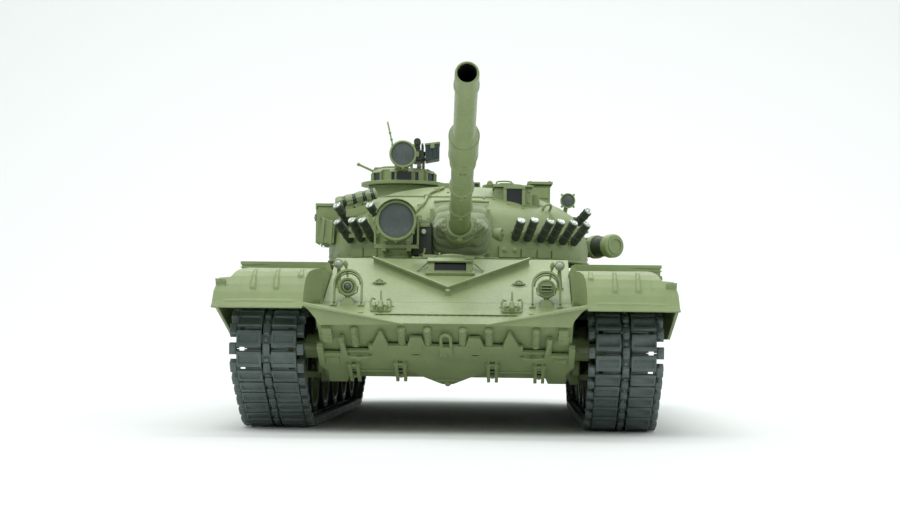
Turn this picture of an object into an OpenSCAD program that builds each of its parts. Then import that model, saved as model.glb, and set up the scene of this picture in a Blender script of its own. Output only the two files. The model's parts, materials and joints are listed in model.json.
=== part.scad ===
// Radio-controlled main battle tank at 1:16 scale, in millimetres.
// +Z is up, the tank faces -Y, the tracks stand on z = 0 and x = 0 is the middle plane.
// Inside the modules y = 0 is the nose edge of the hull; in_hull() moves it to the shared frame.

/* [Hull] */
// Length of the hull from the nose edge to the rear plate
hull_l = 412; // [410:1:416]
// Width of the hull box between the tracks
hull_w = 122; // [120:1:122]
// Height of the belly above the ground
belly_z = 27; // [26:0.5:28]
// Height of the nose edge
nose_z = 53.5; // [53:0.5:54.5]
// Height of the hull roof
roof_z = 88; // [87.5:0.5:88]
// Slope of the glacis from the horizontal
glacis_deg = 22; // [21.5:0.5:23]
// Slope of the lower front plate from the horizontal
lower_deg = 30; // [29:1:31]
// Thickness of the hull plates
plate_t = 2.5; // [2:0.5:2.5]
// Width over the side skirts
overall_w = 224; // [223:0.5:225]
// Height of the fender plates above the ground
fender_z = 66; // [65.5:0.5:66.5]
// Height of the top of the fender bins
bin_top_z = 84; // [82:0.5:85]

/* [Running gear] */
// Distance between the middles of the two tracks
track_gauge = 174.4; // [173.5:0.1:175]
// Width of a track link over its connectors
track_w = 36.2; // [35.5:0.1:36.6]
// Distance between two track pins
link_pitch = 9.4; // [9.3:0.05:9.45]
// Thickness of a track link
track_t = 4.5; // [4.3:0.1:4.6]
// Diameter of a road wheel
wheel_d = 45.4; // [45:0.1:45.6]
// Distance between two road wheels
wheel_pitch = 53.4; // [53:0.1:53.6]
// Distance of the first road wheel behind the nose
wheel1_y = 69; // [68.5:0.5:70]
// Distance of the idler axle behind the nose
idler_y = 32.5; // [32:0.5:33]
// Height of the idler axle
idler_z = 42; // [41.5:0.5:42.5]
// Diameter of the idler
idler_d = 28.4; // [28:0.1:28.6]
// Distance of the sprocket axle behind the nose
sprocket_y = 384; // [383:0.5:385]
// Height of the sprocket axle
sprocket_z = 44; // [43.5:0.5:44.5]
// Number of sprocket teeth
sprocket_teeth = 12; // [12]
// Diameter of a return roller
roller_d = 15; // [14.5:0.1:15.2]

/* [Turret and gun] */
// Distance of the turret axis behind the nose
turret_y = 190; // [188:1:191]
// Radius of the cast turret
turret_r = 75.8; // [75:0.2:76]
// Height of the turret roof
turret_roof_z = 134.5; // [133.5:0.5:135]
// Traverse of the turret at rest
rest_yaw = 2.25; // [0:0.25:3]
// Elevation of the gun at rest
rest_elev = 8.4; // [7:0.2:9]
// Distance of the trunnions in front of the turret axis
trunnion_r = 70; // [69.5:0.5:70]
// Height of the trunnions
trunnion_z = 103.2; // [103:0.2:103.8]
// Length of the gun in front of the trunnions
gun_l = 298.4; // [290:0.2:300]
// Radius of the gun tube at its root
gun_r = 5.5; // [5.4:0.1:5.5]

/* [Fits] */
// Radial clearance of shafts in their bores
fit = 0.05; // [0.04:0.01:0.08]
// Clearance between parts that pass each other
gap = 0.3; // [0.3:0.05:0.35]

/* [Hidden] */
SIDES = ["l", "r"];
WHEELS = [1, 2, 3, 4, 5, 6];
ROLLERS = [1, 2, 3];
ROUND = 64;
SMALL = 32;
PLASTIC_GREEN = [0.50, 0.56, 0.38];
TRACK_GREY = [0.25, 0.29, 0.31];
DARK = [0.10, 0.11, 0.11];
METAL = [0.55, 0.56, 0.57];

// hull
split_z = 64;
glacis_y = (roof_z - nose_z) / tan(glacis_deg);
lower_y = (nose_z - belly_z) / tan(lower_deg);
hull_side = hull_w / 2;
shell_side = hull_side - plate_t;
rear_step = 12;
hatch_y = 93;
hatch_pin_x = 14;
deck_front = turret_y + 75;
// running gear
band_inner = gap;
pin_depth = 2;
wheel_r = wheel_d / 2;
wheel_z = track_t + wheel_r + band_inner;
idler_r = idler_d / 2;
pitch_r = link_pitch / (2 * sin(180 / sprocket_teeth));
sprocket_band_r = pitch_r - pin_depth;
tooth_tip_r = pitch_r + 1.3;
tooth_root_r = sprocket_band_r - gap - 0.4;
tooth_ring_x = 12;
tooth_ring_t = 1.6;
roller_r = roller_d / 2;
track_x = track_gauge / 2;
axle_r = 2;
stub_r = 2.5;
roller_stub_r = 1.5;
shaft_r = 3;
arm_dy = 15;
arm_dz = 5.5;
arm_x = hull_side + 0.4;
arm_t = 4.2;
axle_end = track_x + 10;
// upper band line, from the top of the sprocket to the top of the idler
top_rear_z = sprocket_z + sprocket_band_r;
top_front_z = idler_z + idler_r + band_inner;
top_slope = atan((top_rear_z - top_front_z) / (sprocket_y - idler_y));
// turret
ring_hole_r = 50;
spigot_r = ring_hole_r - gap;
base_z = roof_z + 1.3;
gear_m = 1.2;
ring_teeth = 85;
pinion_teeth = 17;
ring_pitch_r = gear_m * ring_teeth / 2;
pinion_pitch_r = gear_m * pinion_teeth / 2;
gear_z = roof_z - 9;
gear_h = 5.9;
cupola_x = -33.3;
cupola_y = 25;
cupola_r = 18.1;
cupola_z = 136.6;
cupola_top = 146;
lamp_x = -33.9;
lamp_z = 108.7;
lamp_r = 10.9;
lamp_pivot = [lamp_x, -86, 95.5];
ear_in = 5.5;
ear_out = 8;
gun_pivot = [-25, 24, 153.5];
muzzle_r = 4.65;
drum_r = 16;
// middle of the whole tank along y, muzzle and fuel drums included
muzzle_reach = cos(rest_elev) * cos(rest_yaw);
front_y = turret_y - trunnion_r * cos(rest_yaw) - gun_l * muzzle_reach
    - muzzle_r * sqrt(1 - muzzle_reach * muzzle_reach);
rear_y = hull_l + 4 + 2 * drum_r;
mid_y = (front_y + rear_y) / 2;

// ---------------------------------------------------------------- placing and shared shapes

module in_hull() { translate([0, -mid_y, 0]) children(); }

// turret frame: y = 0 on the turret axis, z still from the ground
module in_turret() { in_hull() translate([0, turret_y, 0]) rotate([0, 0, rest_yaw]) children(); }

// gun frame: origin on the trunnions, +Z along the bore towards the muzzle, +Y downwards
module in_gun() {
    in_turret() translate([0, -trunnion_r, trunnion_z]) rotate([90 - rest_elev, 0, 0]) children();
}

module along_x(x0, x1, r, y, z, fn = ROUND) {
    translate([x0, y, z]) rotate([0, 90, 0]) cylinder(h = x1 - x0, r = r, $fn = fn);
}

module along_y(y0, y1, r, x, z, fn = ROUND) {
    translate([x, y0, z]) rotate([-90, 0, 0]) cylinder(h = y1 - y0, r = r, $fn = fn);
}

module box(x0, x1, y0, y1, z0, z1) { translate([x0, y0, z0]) cube([x1 - x0, y1 - y0, z1 - z0]); }

// a side outline (y, z) extruded over x0..x1
module side_plate(x0, x1) {
    translate([x0, 0, 0]) rotate([90, 0, 90]) linear_extrude(height = x1 - x0) children();
}

module both_sides() {
    children();
    mirror([1, 0, 0]) children();
}

// the left side is +x; the right side is its mirror image
module on_side(s) {
    in_hull() mirror([s == "r" ? 1 : 0, 0, 0]) children();
}

function arc(cy, cz, r, a0, a1, n) =
    [for (i = [0 : n]) let (a = a0 + (a1 - a0) * i / n) [cy + r * cos(a), cz + r * sin(a)]];

// involute gear outline with a little backlash
function inv_deg(a) = tan(a) * 180 / PI - a;
function flank_deg(r, rb, half) = half + inv_deg(20) - (r > rb ? inv_deg(acos(rb / r)) : 0);
function gear_outline(teeth, m, turn) =
    let (
        rp = m * teeth / 2,
        rb = rp * cos(20),
        half = 90 / teeth - 0.075 / rp * 180 / PI,
        radii = [rp - 1.2 * m, rp - 0.4 * m, rp + 0.3 * m, rp + 0.8 * m]
    )
    [for (i = [0 : teeth - 1], side = [-1, 1], k = [0 : 3])
        let (
            r = radii[side < 0 ? k : 3 - k],
            a = turn + 360 * i / teeth + side * flank_deg(r, rb, half)
        )
        [r * cos(a), r * sin(a)]];

// ---------------------------------------------------------------- hull

module hull_outline() {
    polygon([
        [0, nose_z], [glacis_y, roof_z], [hull_l - rear_step, roof_z], [hull_l, roof_z - rear_step],
        [hull_l, belly_z + rear_step], [hull_l - rear_step, belly_z], [lower_y, belly_z]
    ]);
}

module hull_inside() {
    nose_in = plate_t / sin((glacis_deg + lower_deg) / 2);
    bisector = (glacis_deg - lower_deg) / 2;
    corner = plate_t * tan(22.5);
    polygon([
        [nose_in * cos(bisector), nose_z + nose_in * sin(bisector)],
        [glacis_y + plate_t * tan(glacis_deg / 2), roof_z - plate_t],
        [hull_l - rear_step - corner, roof_z - plate_t],
        [hull_l - plate_t, roof_z - rear_step - corner],
        [hull_l - plate_t, belly_z + rear_step + corner],
        [hull_l - rear_step - corner, belly_z + plate_t],
        [lower_y + plate_t * tan(lower_deg / 2), belly_z + plate_t]
    ]);
}

module hull_shell() {
    difference() {
        side_plate(-hull_side, hull_side) hull_outline();
        side_plate(-shell_side, shell_side) hull_inside();
    }
}

function wheel_y(i) = wheel1_y + (i - 1) * wheel_pitch;
function pivot_y(i) = wheel_y(i) - arm_dy;
pivot_z = wheel_z + arm_dz;
function roller_y(i) = wheel_y(2 * i - 1) + wheel_pitch / 2;
function roller_z(i) =
    top_front_z + (roller_y(i) - idler_y) * tan(top_slope) - (roller_r + gap) / cos(top_slope);

module lower_hull() {
    housing_r = 11;
    color(PLASTIC_GREEN) in_hull() {
        difference() {
            union() {
                intersection() {
                    hull_shell();
                    box(-hull_side, hull_side, 0, hull_l, 0, split_z);
                }
                both_sides() {
                    along_x(shell_side, hull_side + 7, housing_r, sprocket_y, sprocket_z);
                    along_x(shell_side, hull_side + 9, 6, idler_y + 4, idler_z);
                    along_x(hull_side + 1, axle_end, stub_r, idler_y, idler_z);
                    for (i = ROLLERS) {
                        along_x(shell_side, 71, 4, roller_y(i), roller_z(i));
                        along_x(70, 84, roller_stub_r, roller_y(i), roller_z(i), SMALL);
                    }
                }
            }
            both_sides() {
                along_x(0, hull_side + 20, shaft_r + fit, sprocket_y, sprocket_z);
                for (i = WHEELS) along_x(0, hull_side + 5, shaft_r + fit, pivot_y(i), pivot_z);
            }
        }
    }
}

// plate standing on the glacis along the line of a V
module guard_wall() {
    guard_h = 3.4;
    span_x = 40.5;
    tip_y = 37;
    end_y = 77;
    intersection() {
        linear_extrude(height = roof_z + guard_h) polygon([
            [0, tip_y], [span_x, end_y], [span_x, end_y + 1.4], [0, tip_y + 1.6],
            [-span_x, end_y + 1.4], [-span_x, end_y]
        ]);
        side_plate(-hull_side, hull_side) polygon([
            [0, nose_z], [glacis_y, roof_z], [glacis_y, roof_z + guard_h], [0, nose_z + guard_h]
        ]);
    }
}

module upper_hull() {
    hatch_hole_r = 8.5;
    grille_w = 86;
    color(PLASTIC_GREEN) in_hull() {
        difference() {
            intersection() {
                hull_shell();
                box(-hull_side, hull_side, 0, hull_l, split_z, roof_z);
            }
            translate([0, turret_y, 0]) cylinder(h = roof_z + 5, r = ring_hole_r, $fn = 96);
            translate([0, hatch_y, 70]) cylinder(h = 30, r = hatch_hole_r, $fn = ROUND);
        }
        guard_wall();
        // periscope block in front of the driver's hatch
        side_plate(-8, 8) polygon([
            [68, nose_z + 68 * tan(glacis_deg)], [82, nose_z + 82 * tan(glacis_deg)],
            [82, roof_z + 0.2], [70, roof_z + 0.2]
        ]);
        // raised engine deck and the bars of its grille
        box(-hull_side + 3, hull_side - 3, deck_front, hull_l - 46, roof_z, roof_z + 0.8);
        for (i = [0 : 6]) {
            box(-grille_w / 2, grille_w / 2, hull_l - 43 + i * 4, hull_l - 41 + i * 4,
                roof_z, roof_z + 0.8);
        }
    }
}

// ---------------------------------------------------------------- fenders and hull fittings

guard_in = 64.5;
guard_end = 62;
guard_top = 80;
guard_lip = 60.4;

// front outline of the front mudguard, inset by t
module guard_front(t) {
    polygon([
        [guard_in + t, 50], [guard_in + t, 90], [98 - t * 0.4, 90], [98 - t * 0.4, guard_top - t * 0.6],
        [101 - t * 0.6, 78.4 - t * 0.7], [103.4 - t * 0.6, 74.9 - t], [108.7 - t, 74.5 - t],
        [110.7 - t, 68.2], [111.4 - t, 60], [111.4 - t, 50]
    ]);
}

// front mudguard as a solid block, inset by t
module guard_block(t) {
    intersection() {
        side_plate(60, 114) polygon([
            [guard_end + t * 4, guard_lip - 4 * t], [guard_end + t * 4, guard_top - t],
            [20, guard_top - t], [10, 79 - t], [4 + t * 0.3, 76 - t * 0.8],
            [0.5 + t * 0.8, 71.5 - t * 0.4], [-2.6 + t, 65], [-3.6 + t, guard_lip - 4 * t]
        ]);
        rotate([90, 0, 0]) translate([0, 0, -70]) linear_extrude(height = 80) guard_front(t);
    }
}

module mudguards() {
    guard_t = 1.4;
    color(PLASTIC_GREEN) in_hull() both_sides() {
        // open below and behind
        difference() {
            guard_block(0);
            guard_block(guard_t);
        }
        // rail that carries it on the hull
        box(hull_side, guard_in + guard_t / 2, 18, guard_end, 62, fender_z);
    }
}

module fender_side() {
    fender_out = overall_w / 2 - 1.6;
    bin_in = 64;
    bin_out = 107.5;
    bin_y = 64;
    bin_l = 57;
    bin_step = 59;
    bin_n = 5;
    skirt_z = 47;
    // fender plate
    box(hull_side, fender_out, guard_end, hull_l + 6, fender_z, fender_z + 1.5);
    // bins and fuel cells in a row
    for (i = [0 : bin_n - 1]) {
        box(bin_in, bin_out, bin_y + i * bin_step, bin_y + i * bin_step + bin_l,
            fender_z + 1.5, bin_top_z);
    }
    // side skirt with a slanted front edge
    side_plate(fender_out, overall_w / 2) polygon([
        [12, guard_lip - 0.2], [58, skirt_z], [hull_l - 20, skirt_z], [hull_l + 6, 58],
        [hull_l + 6, fender_z + 1.5], [guard_end + gap, fender_z + 1.5], [guard_end + gap, guard_lip - 0.2]
    ]);
    // rear mud flap
    box(66, fender_out, hull_l + 4.5, hull_l + 6, 46, fender_z);
}

module fenders() {
    color(PLASTIC_GREEN) in_hull() both_sides() fender_side();
}

// local frame of the lower front plate: u across, v up the slope from the belly edge, w outwards
module on_lower_plate() {
    translate([0, lower_y, belly_z]) rotate([180 - lower_deg, 0, 0]) children();
}

// half of the blade's outline, from the middle of the top edge round to the middle of the bottom edge
blade_half = [
    [9.7, 36], [11.3, 44], [16.8, 44], [18.5, 36], [27.8, 36], [30, 49], [31.6, 49], [35.4, 36],
    [37.4, 36], [37.4, 31], [48.6, 31], [48.6, 44], [51.2, 44], [51.2, 28], [59.5, 28],
    [59.5, 36], [62.5, 36], [62.5, 17], [59, 9.5], [59, -0.5], [50, -0.5], [47, 11.2],
    [19.5, 11.2], [2.8, -2]
];
blade_n = len(blade_half);

module entrenching_blade() {
    blade_t = 1.8;
    standoff = 1.2;
    color(PLASTIC_GREEN) in_hull() on_lower_plate() {
        translate([0, 0, standoff]) linear_extrude(height = blade_t) polygon(concat(
            blade_half,
            [for (i = [1 : blade_n]) [-blade_half[blade_n - i][0], blade_half[blade_n - i][1]]]
        ));
        // slide blocks that carry the blade on the hull
        for (x = [-45.5, -22.5, 22.5, 45.5]) box(x - 2.5, x + 2.5, 13, 20, 0, standoff);
    }
}

module rear_stores() {
    drum_l = 54;
    log_r = 5.5;
    log_half = 64;
    color(PLASTIC_GREEN) in_hull() {
        both_sides() {
            along_x(6, 6 + drum_l, drum_r, hull_l + 4 + drum_r, 71);
            for (x = [16, 48]) box(x - 2, x + 2, hull_l, hull_l + 12, 50, 57);
        }
        along_x(-log_half, log_half, log_r, hull_l + log_r + 1, 44);
    }
}

module headlight_pair() {
    lamp_pos = [48.6, 71.3];
    guard_x = 7;
    guard_r = 0.8;
    foot_z = nose_z + 24 * tan(glacis_deg) - 1;
    // lamp shell and bracket
    along_y(21, 29, 4.4, lamp_pos[0], lamp_pos[1]);
    box(lamp_pos[0] - 2, lamp_pos[0] + 2, 24, 28, foot_z, 68);
    // hoop of round rod round the lamp
    translate([lamp_pos[0], 25, 72.5]) difference() {
        rotate([90, 0, 0]) rotate_extrude($fn = 48) translate([guard_x, 0]) circle(r = guard_r, $fn = 16);
        translate([-10, -5, -20]) cube([20, 10, 20]);
    }
    for (dx = [-guard_x, guard_x]) {
        translate([lamp_pos[0] + dx, 25, foot_z - 1]) cylinder(h = 73.5 - foot_z, r = guard_r, $fn = 16);
    }
    // small marker lamp
    along_y(44, 48, 2.4, 56, 83.4, SMALL);
    box(55.2, 56.8, 45, 47, nose_z + 44 * tan(glacis_deg) - 1, 82);
}

module headlights() {
    color(PLASTIC_GREEN) in_hull() both_sides() headlight_pair();
}

// ---------------------------------------------------------------- inside the hull

pinion_y = turret_y + ring_pitch_r + pinion_pitch_r;

// gearboxes with their motors, and the traverse motor under its bridge
module drive_units() {
    box_y0 = sprocket_y - 15;
    box_y1 = sprocket_y + 13;
    bridge_z = gear_z - 3.5;
    color(METAL) in_hull() {
        both_sides() {
            difference() {
                box(34, shell_side, box_y0, box_y1, belly_z + plate_t + 2, 60);
                along_x(39, 70, shaft_r + fit, sprocket_y, sprocket_z);
            }
            along_x(2, 34, 9.5, sprocket_y - 4, sprocket_z);
        }
        difference() {
            union() {
                box(-shell_side, shell_side, pinion_y - 11, pinion_y + 11, bridge_z, bridge_z + 2);
                translate([0, pinion_y, bridge_z - 24]) cylinder(h = 24, r = 8.5, $fn = ROUND);
            }
            translate([0, pinion_y, bridge_z - 8])
                cylinder(h = 12, r = roller_stub_r + fit, $fn = SMALL);
        }
    }
}

module electronics() {
    floor_z = belly_z + plate_t;
    color(DARK) in_hull() {
        // battery pack
        box(-30, 30, 262, 352, floor_z, floor_z + 22);
        // receiver and control board on its posts
        box(-35, 35, 170, 235, floor_z + 14, floor_z + 15.6);
        for (x = [-31, 31], y = [174, 231]) {
            translate([x, y, floor_z]) cylinder(h = 14, r = 2, $fn = SMALL);
        }
        // speaker
        translate([0, 100, floor_z]) cylinder(h = 12, r = 18, $fn = ROUND);
    }
}

module traverse_pinion() {
    color(METAL) in_hull() translate([0, pinion_y, 0]) {
        translate([0, 0, gear_z]) linear_extrude(height = gear_h - 1)
            polygon(gear_outline(pinion_teeth, gear_m, -90 + 180 / pinion_teeth));
        translate([0, 0, gear_z - 10]) cylinder(h = 10, r = roller_stub_r, $fn = SMALL);
    }
}

// ---------------------------------------------------------------- turret

dome_outline = [
    [44, base_z], [turret_r - 1.8, base_z], [turret_r - 0.3, 91], [turret_r, 97],
    [turret_r - 1.2, 104], [turret_r - 4, 112], [turret_r - 8.8, 117.5], [turret_r - 15.8, 122],
    [turret_r - 25.8, 126.5], [turret_r - 37.8, 130.5], [24, turret_roof_z - 1.3], [0, turret_roof_z]
];
dome_inside = [
    [0, base_z + 2.2], [turret_r - 4, base_z + 2.2], [turret_r - 3.6, 97], [turret_r - 4.8, 103.5],
    [turret_r - 7.6, 110.5], [turret_r - 12, 114.8], [turret_r - 18.5, 118.7],
    [turret_r - 27.5, 123], [24, 129.5], [0, 131]
];

module turret_ring() {
    ring_in = 44;
    color(METAL) in_hull() translate([0, turret_y, 0]) difference() {
        union() {
            translate([0, 0, gear_z]) linear_extrude(height = gear_h)
                polygon(gear_outline(ring_teeth, gear_m, 90));
            translate([0, 0, gear_z]) cylinder(h = base_z - gear_z, r = spigot_r, $fn = 96);
        }
        translate([0, 0, gear_z - 1]) cylinder(h = 20, r = ring_in, $fn = 96);
    }
}

module turret_dome() {
    difference() {
        rotate_extrude($fn = 96) polygon(dome_outline);
        rotate_extrude($fn = 96) polygon(dome_inside);
        translate([0, 0, base_z - 1]) cylinder(h = 5, r = 44, $fn = 96);
    }
}

hatch_pos = [27, 24];

module turret_shell() {
    port_w = 26;
    cheek = 5;
    color(PLASTIC_GREEN) in_turret() {
        difference() {
            union() {
                turret_dome();
                // trunnion cheeks, cupola base and hatch coaming
                intersection() {
                    rotate_extrude($fn = 96) polygon([[0, 92], [turret_r - 1, 92], [turret_r - 3, 112],
                        [0, 112]]);
                    both_sides() box(port_w / 2 + 0.3, port_w / 2 + cheek, -trunnion_r - 8,
                        -trunnion_r + 9, 93, 112);
                }
                translate([cupola_x, cupola_y, 126]) cylinder(h = cupola_z - 126, r = 21, $fn = ROUND);
                translate([hatch_pos[0], hatch_pos[1], 126]) cylinder(h = 9.5, r = 14.5, $fn = ROUND);
                // sight housing and the sight head behind it
                box(19.5, 40.5, -50, -24, 118, 131);
                box(42, 54, 6, 18, 121, 137.5);
                // bracket ears of the searchlight
                for (x = [lamp_x - ear_out, lamp_x + ear_in]) {
                    box(x, x + ear_out - ear_in, lamp_pivot[1] - 4, -61, 92.6, 98);
                }
            }
            // room for the breech when the gun is raised
            box(-7, 7, -56, -40, base_z + 0.9, 95);
            box(-port_w / 2, port_w / 2, -turret_r - 5, -46, 91.6, 117);
            along_x(-port_w / 2 - 8, port_w / 2 + 8, shaft_r + fit, -trunnion_r, trunnion_z);
            translate([cupola_x, cupola_y, 100]) cylinder(h = 50, r = 15.5, $fn = ROUND);
            translate([hatch_pos[0], hatch_pos[1], 100]) cylinder(h = 50, r = 11.5, $fn = ROUND);
            along_x(lamp_x - 9, lamp_x + 9, roller_stub_r + fit, lamp_pivot[1], lamp_pivot[2], SMALL);
        }
    }
}

roll_end = [-68.5, -38, 121.6];
roll_rise = 14;
roll_l = 20;
roll_r = 3;
snorkel_end = [93, 22, 102.5];
snorkel_deg = 32;
snorkel_l = 72;

module turret_bins() {
    strap_t = 3;
    color(PLASTIC_GREEN) in_turret() {
        difference() {
            union() {
                box(-81.8, -60, -22, 48, 101, 122.8);
                rotate([0, 0, 18]) box(-42, 34, 58, 98, 97, 116);
            }
            rotate_extrude($fn = 96) polygon([[0, 80], [turret_r + 0.1, 80], [turret_r + 0.1, 106],
                [turret_r - 4, 112.5], [turret_r - 8.6, 118], [turret_r - 15, 123], [0, 123]]);
        }
        // rolled cover strapped down in front of the cupola, on its block
        translate(roll_end) rotate([0, 90 - roll_rise, 0]) cylinder(h = roll_l, r = roll_r, $fn = SMALL);
        difference() {
            box(roll_end[0] + 8, roll_end[0] + 17, roll_end[1] - 2, roll_end[1] + 2, 112, 123);
            translate([0, 0, 0.1]) rotate_extrude($fn = 96) polygon(dome_outline);
        }
        // snorkel canister with its end cap and two straps
        translate(snorkel_end) rotate([0, 0, snorkel_deg]) {
            along_y(0, snorkel_l, 6.2, 0, 0);
            along_y(-2, 4, 7, 0, 0);
        }
        difference() {
            for (d = [16, 52]) translate(snorkel_end) rotate([0, 0, snorkel_deg])
                box(-22, -6, d, d + strap_t, -4, 4);
            rotate_extrude($fn = 96) polygon([[0, 80], [turret_r + 0.1, 80], [turret_r + 0.1, 120],
                [0, 120]]);
        }
    }
}

module mantlet() {
    color(PLASTIC_GREEN) {
        in_gun() difference() {
            translate([0, 0, -12]) cylinder(h = 32, r = 9, $fn = ROUND);
            translate([0, 0, -13]) cylinder(h = 40, r = gun_r + fit, $fn = ROUND);
        }
        in_turret() difference() {
            along_x(-17, 17, shaft_r, -trunnion_r, trunnion_z);
            along_x(-8.5, 8.5, shaft_r + 1, -trunnion_r, trunnion_z);
        }
    }
}

module mantlet_cover() {
    color([0.48, 0.52, 0.38]) in_gun() difference() {
        rotate_extrude($fn = ROUND) polygon([
            [9.4, 8], [15.8, 8], [16, 12], [15, 18], [12.6, 22.5], [9, 25], [6.4, 25.6], [6.4, 20.6],
            [9.4, 20.6]
        ]);
        translate([-20, -20, -20]) cube([40, 40, 29]);
    }
}

module gun_barrel() {
    bore_r = 3.9;
    bore_depth = 24;
    collar_l = 18.4;
    evac_r = 6.3;
    evac = [172, 211];
    tube_r = 4.45;
    color(PLASTIC_GREEN) in_gun() rotate_extrude($fn = ROUND) polygon([
        [0, -40], [gun_r, -40], [gun_r, evac[0]], [evac_r, evac[0] + 3], [evac_r, evac[1]],
        [tube_r, evac[1]], [tube_r, gun_l - collar_l], [muzzle_r, gun_l - collar_l],
        [muzzle_r, gun_l], [bore_r, gun_l], [bore_r, gun_l - bore_depth], [0, gun_l - bore_depth]
    ]);
}

module elevation_servo() {
    color(DARK) in_turret() {
        box(20, 40, -44, -20, base_z + 2.2, 112);
        translate([30, -32, 112]) cylinder(h = 3, r = 5, $fn = SMALL);
    }
}

module cupola() {
    sight_r = 7.6;
    flange_r = 25.4;
    sight_pos = [cupola_x + 0.2, -5, 153.6];
    color(PLASTIC_GREEN) in_turret() {
        translate([cupola_x, cupola_y, 0]) difference() {
            union() {
                translate([0, 0, cupola_z + gap]) cylinder(h = 1.6, r = flange_r, $fn = 96);
                translate([0, 0, cupola_z + gap]) cylinder(h = cupola_top - cupola_z - gap,
                    r = cupola_r, $fn = 96);
            }
            translate([-5.5, 0, cupola_z - 1]) cylinder(h = 20, r = 8.2, $fn = ROUND);
        }
        // small searchlight on its post
        along_y(sight_pos[1], sight_pos[1] + 9, sight_r, sight_pos[0], sight_pos[2]);
        box(sight_pos[0] - 3, sight_pos[0] + 3, sight_pos[1] + 9, 12, cupola_top - 1, 150);
        box(sight_pos[0] - 2, sight_pos[0] + 2, sight_pos[1] + 3, sight_pos[1] + 13, 145.9, 148);
        // thin rod
        translate([-36.1, 8, cupola_top - 1]) rotate([0, -13, 0]) cylinder(h = 29.8, r = 0.5, $fn = 16);
        // ears that carry the machine gun
        difference() {
            for (x = [-29.4, -22.2]) box(x, x + 1.6, 20.5, 27.5, cupola_top - 1, 155.5);
            along_x(-32, -18, 1 + fit, gun_pivot[1], gun_pivot[2], SMALL);
        }
    }
}

module aa_gun() {
    color(DARK) in_turret() {
        // receiver, sight, barrel and pivot pin
        box(-27.5, -22.5, 6, 44, 151, 158.5);
        box(-26.6, -23.4, 7, 13, 158.5, 165);
        along_y(43, 92, 1.4, -25, 155.5, SMALL);
        along_x(-30, -19.5, 1, gun_pivot[1], gun_pivot[2], SMALL);
        // ammunition box on its bracket
        box(-20.2, -11.8, 8, 26, 151, 162.6);
        box(-22.6, -20.1, 12, 18, 155, 157);
    }
}

hinge_r = 0.9;
commander_hinge_x = cupola_x - 17;
gunner_hinge_y = hatch_pos[1] + 16;

module commander_hatch() {
    lid_r = 8.9;
    lid_z = cupola_top + 0.2;
    color(PLASTIC_GREEN) in_turret() {
        translate([cupola_x - 5.5, cupola_y, lid_z]) cylinder(h = 2, r = lid_r, $fn = ROUND);
        box(commander_hinge_x, cupola_x - 12, cupola_y - 3, cupola_y + 3, lid_z, lid_z + 2);
        along_y(cupola_y - 3.6, cupola_y + 3.6, hinge_r, commander_hinge_x, lid_z + 1, SMALL);
    }
}

module gunner_hatch() {
    color(PLASTIC_GREEN) in_turret() {
        translate([hatch_pos[0], hatch_pos[1], 135.7]) cylinder(h = 2.2, r = 13, $fn = ROUND);
        box(hatch_pos[0] - 4, hatch_pos[0] + 4, hatch_pos[1] + 10, gunner_hinge_y, 135.7, 137.9);
        along_x(hatch_pos[0] - 4.6, hatch_pos[0] + 4.6, hinge_r, gunner_hinge_y, 136.8, SMALL);
    }
}

module driver_hatch() {
    lid_z = roof_z + gap;
    lid_t = 1.5;
    color(PLASTIC_GREEN) in_hull() {
        translate([0, hatch_y, lid_z]) cylinder(h = lid_t, r = 10, $fn = ROUND);
        translate([hatch_pin_x, hatch_y, lid_z]) cylinder(h = lid_t, r = 3, $fn = SMALL);
        box(6, hatch_pin_x, hatch_y - 2, hatch_y + 2, lid_z, lid_z + lid_t);
    }
}

module searchlight() {
    color(PLASTIC_GREEN) in_turret() {
        along_y(-95, -84, lamp_r, lamp_x, lamp_z);
        along_y(-84, -80, lamp_r - 3, lamp_x, lamp_z);
        box(lamp_x - ear_in + 0.5, lamp_x + ear_in - 0.5, -88, -82.5, 93.5, 100);
        along_x(lamp_x - ear_out, lamp_x + ear_out, roller_stub_r, lamp_pivot[1], lamp_pivot[2], SMALL);
    }
}

// a launcher tube on the side of the dome at an angle from straight ahead, with its bracket
module smoke_tube(turn, foot_r, foot_z) {
    lean = 38;
    tube_l = 14.5;
    rotate([0, 0, turn]) {
        translate([0, -foot_r, foot_z]) rotate([lean, 0, 0]) cylinder(h = tube_l, r = 2.4, $fn = SMALL);
        along_y(-foot_r - 2, 5 - foot_r, 1.5, 0, foot_z + 2.5, SMALL);
    }
}

module smoke_launchers() {
    low = [-50, -43.4, -37, 23, 28.4, 34, 40, 47, 54];
    high = [-52, -34.6, 56.5];
    color(DARK) in_turret() {
        for (turn = low) smoke_tube(turn, turret_r + 3, 99.5);
        for (turn = high) smoke_tube(turn, turret_r + 1.4, 107);
    }
}

// ---------------------------------------------------------------- running gear

// outline of the closed track band at distance d outside the wheels
function track_loop(d) =
    let (
        r_i = idler_r + band_inner + d,
        r_w = wheel_r + band_inner + d,
        r_s = sprocket_band_r + d,
        first = [wheel_y(1), wheel_z],
        last = [wheel_y(6), wheel_z],
        idle = [idler_y, idler_z],
        drive = [sprocket_y, sprocket_z],
        // directions of the outward normals on the front ramp, the rear ramp and the top run
        front_n = atan2(first[1] - idle[1], first[0] - idle[0]) - 90
            - asin((r_w - r_i) / norm(first - idle)),
        rear_n = atan2(drive[1] - last[1], drive[0] - last[0]) - 90
            + asin((r_w - r_s) / norm(drive - last)),
        top_n = atan2(drive[1] - idle[1], drive[0] - idle[0]) + 90
            + asin((r_s - r_i) / norm(drive - idle))
    )
    concat(
        arc(last[0], last[1], r_w, -90, rear_n, 6),
        arc(drive[0], drive[1], r_s, rear_n, top_n, 32),
        arc(idle[0], idle[1], r_i, top_n, 360 + front_n, 28),
        arc(first[0], first[1], r_w, front_n, -90, 6)
    );

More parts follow.
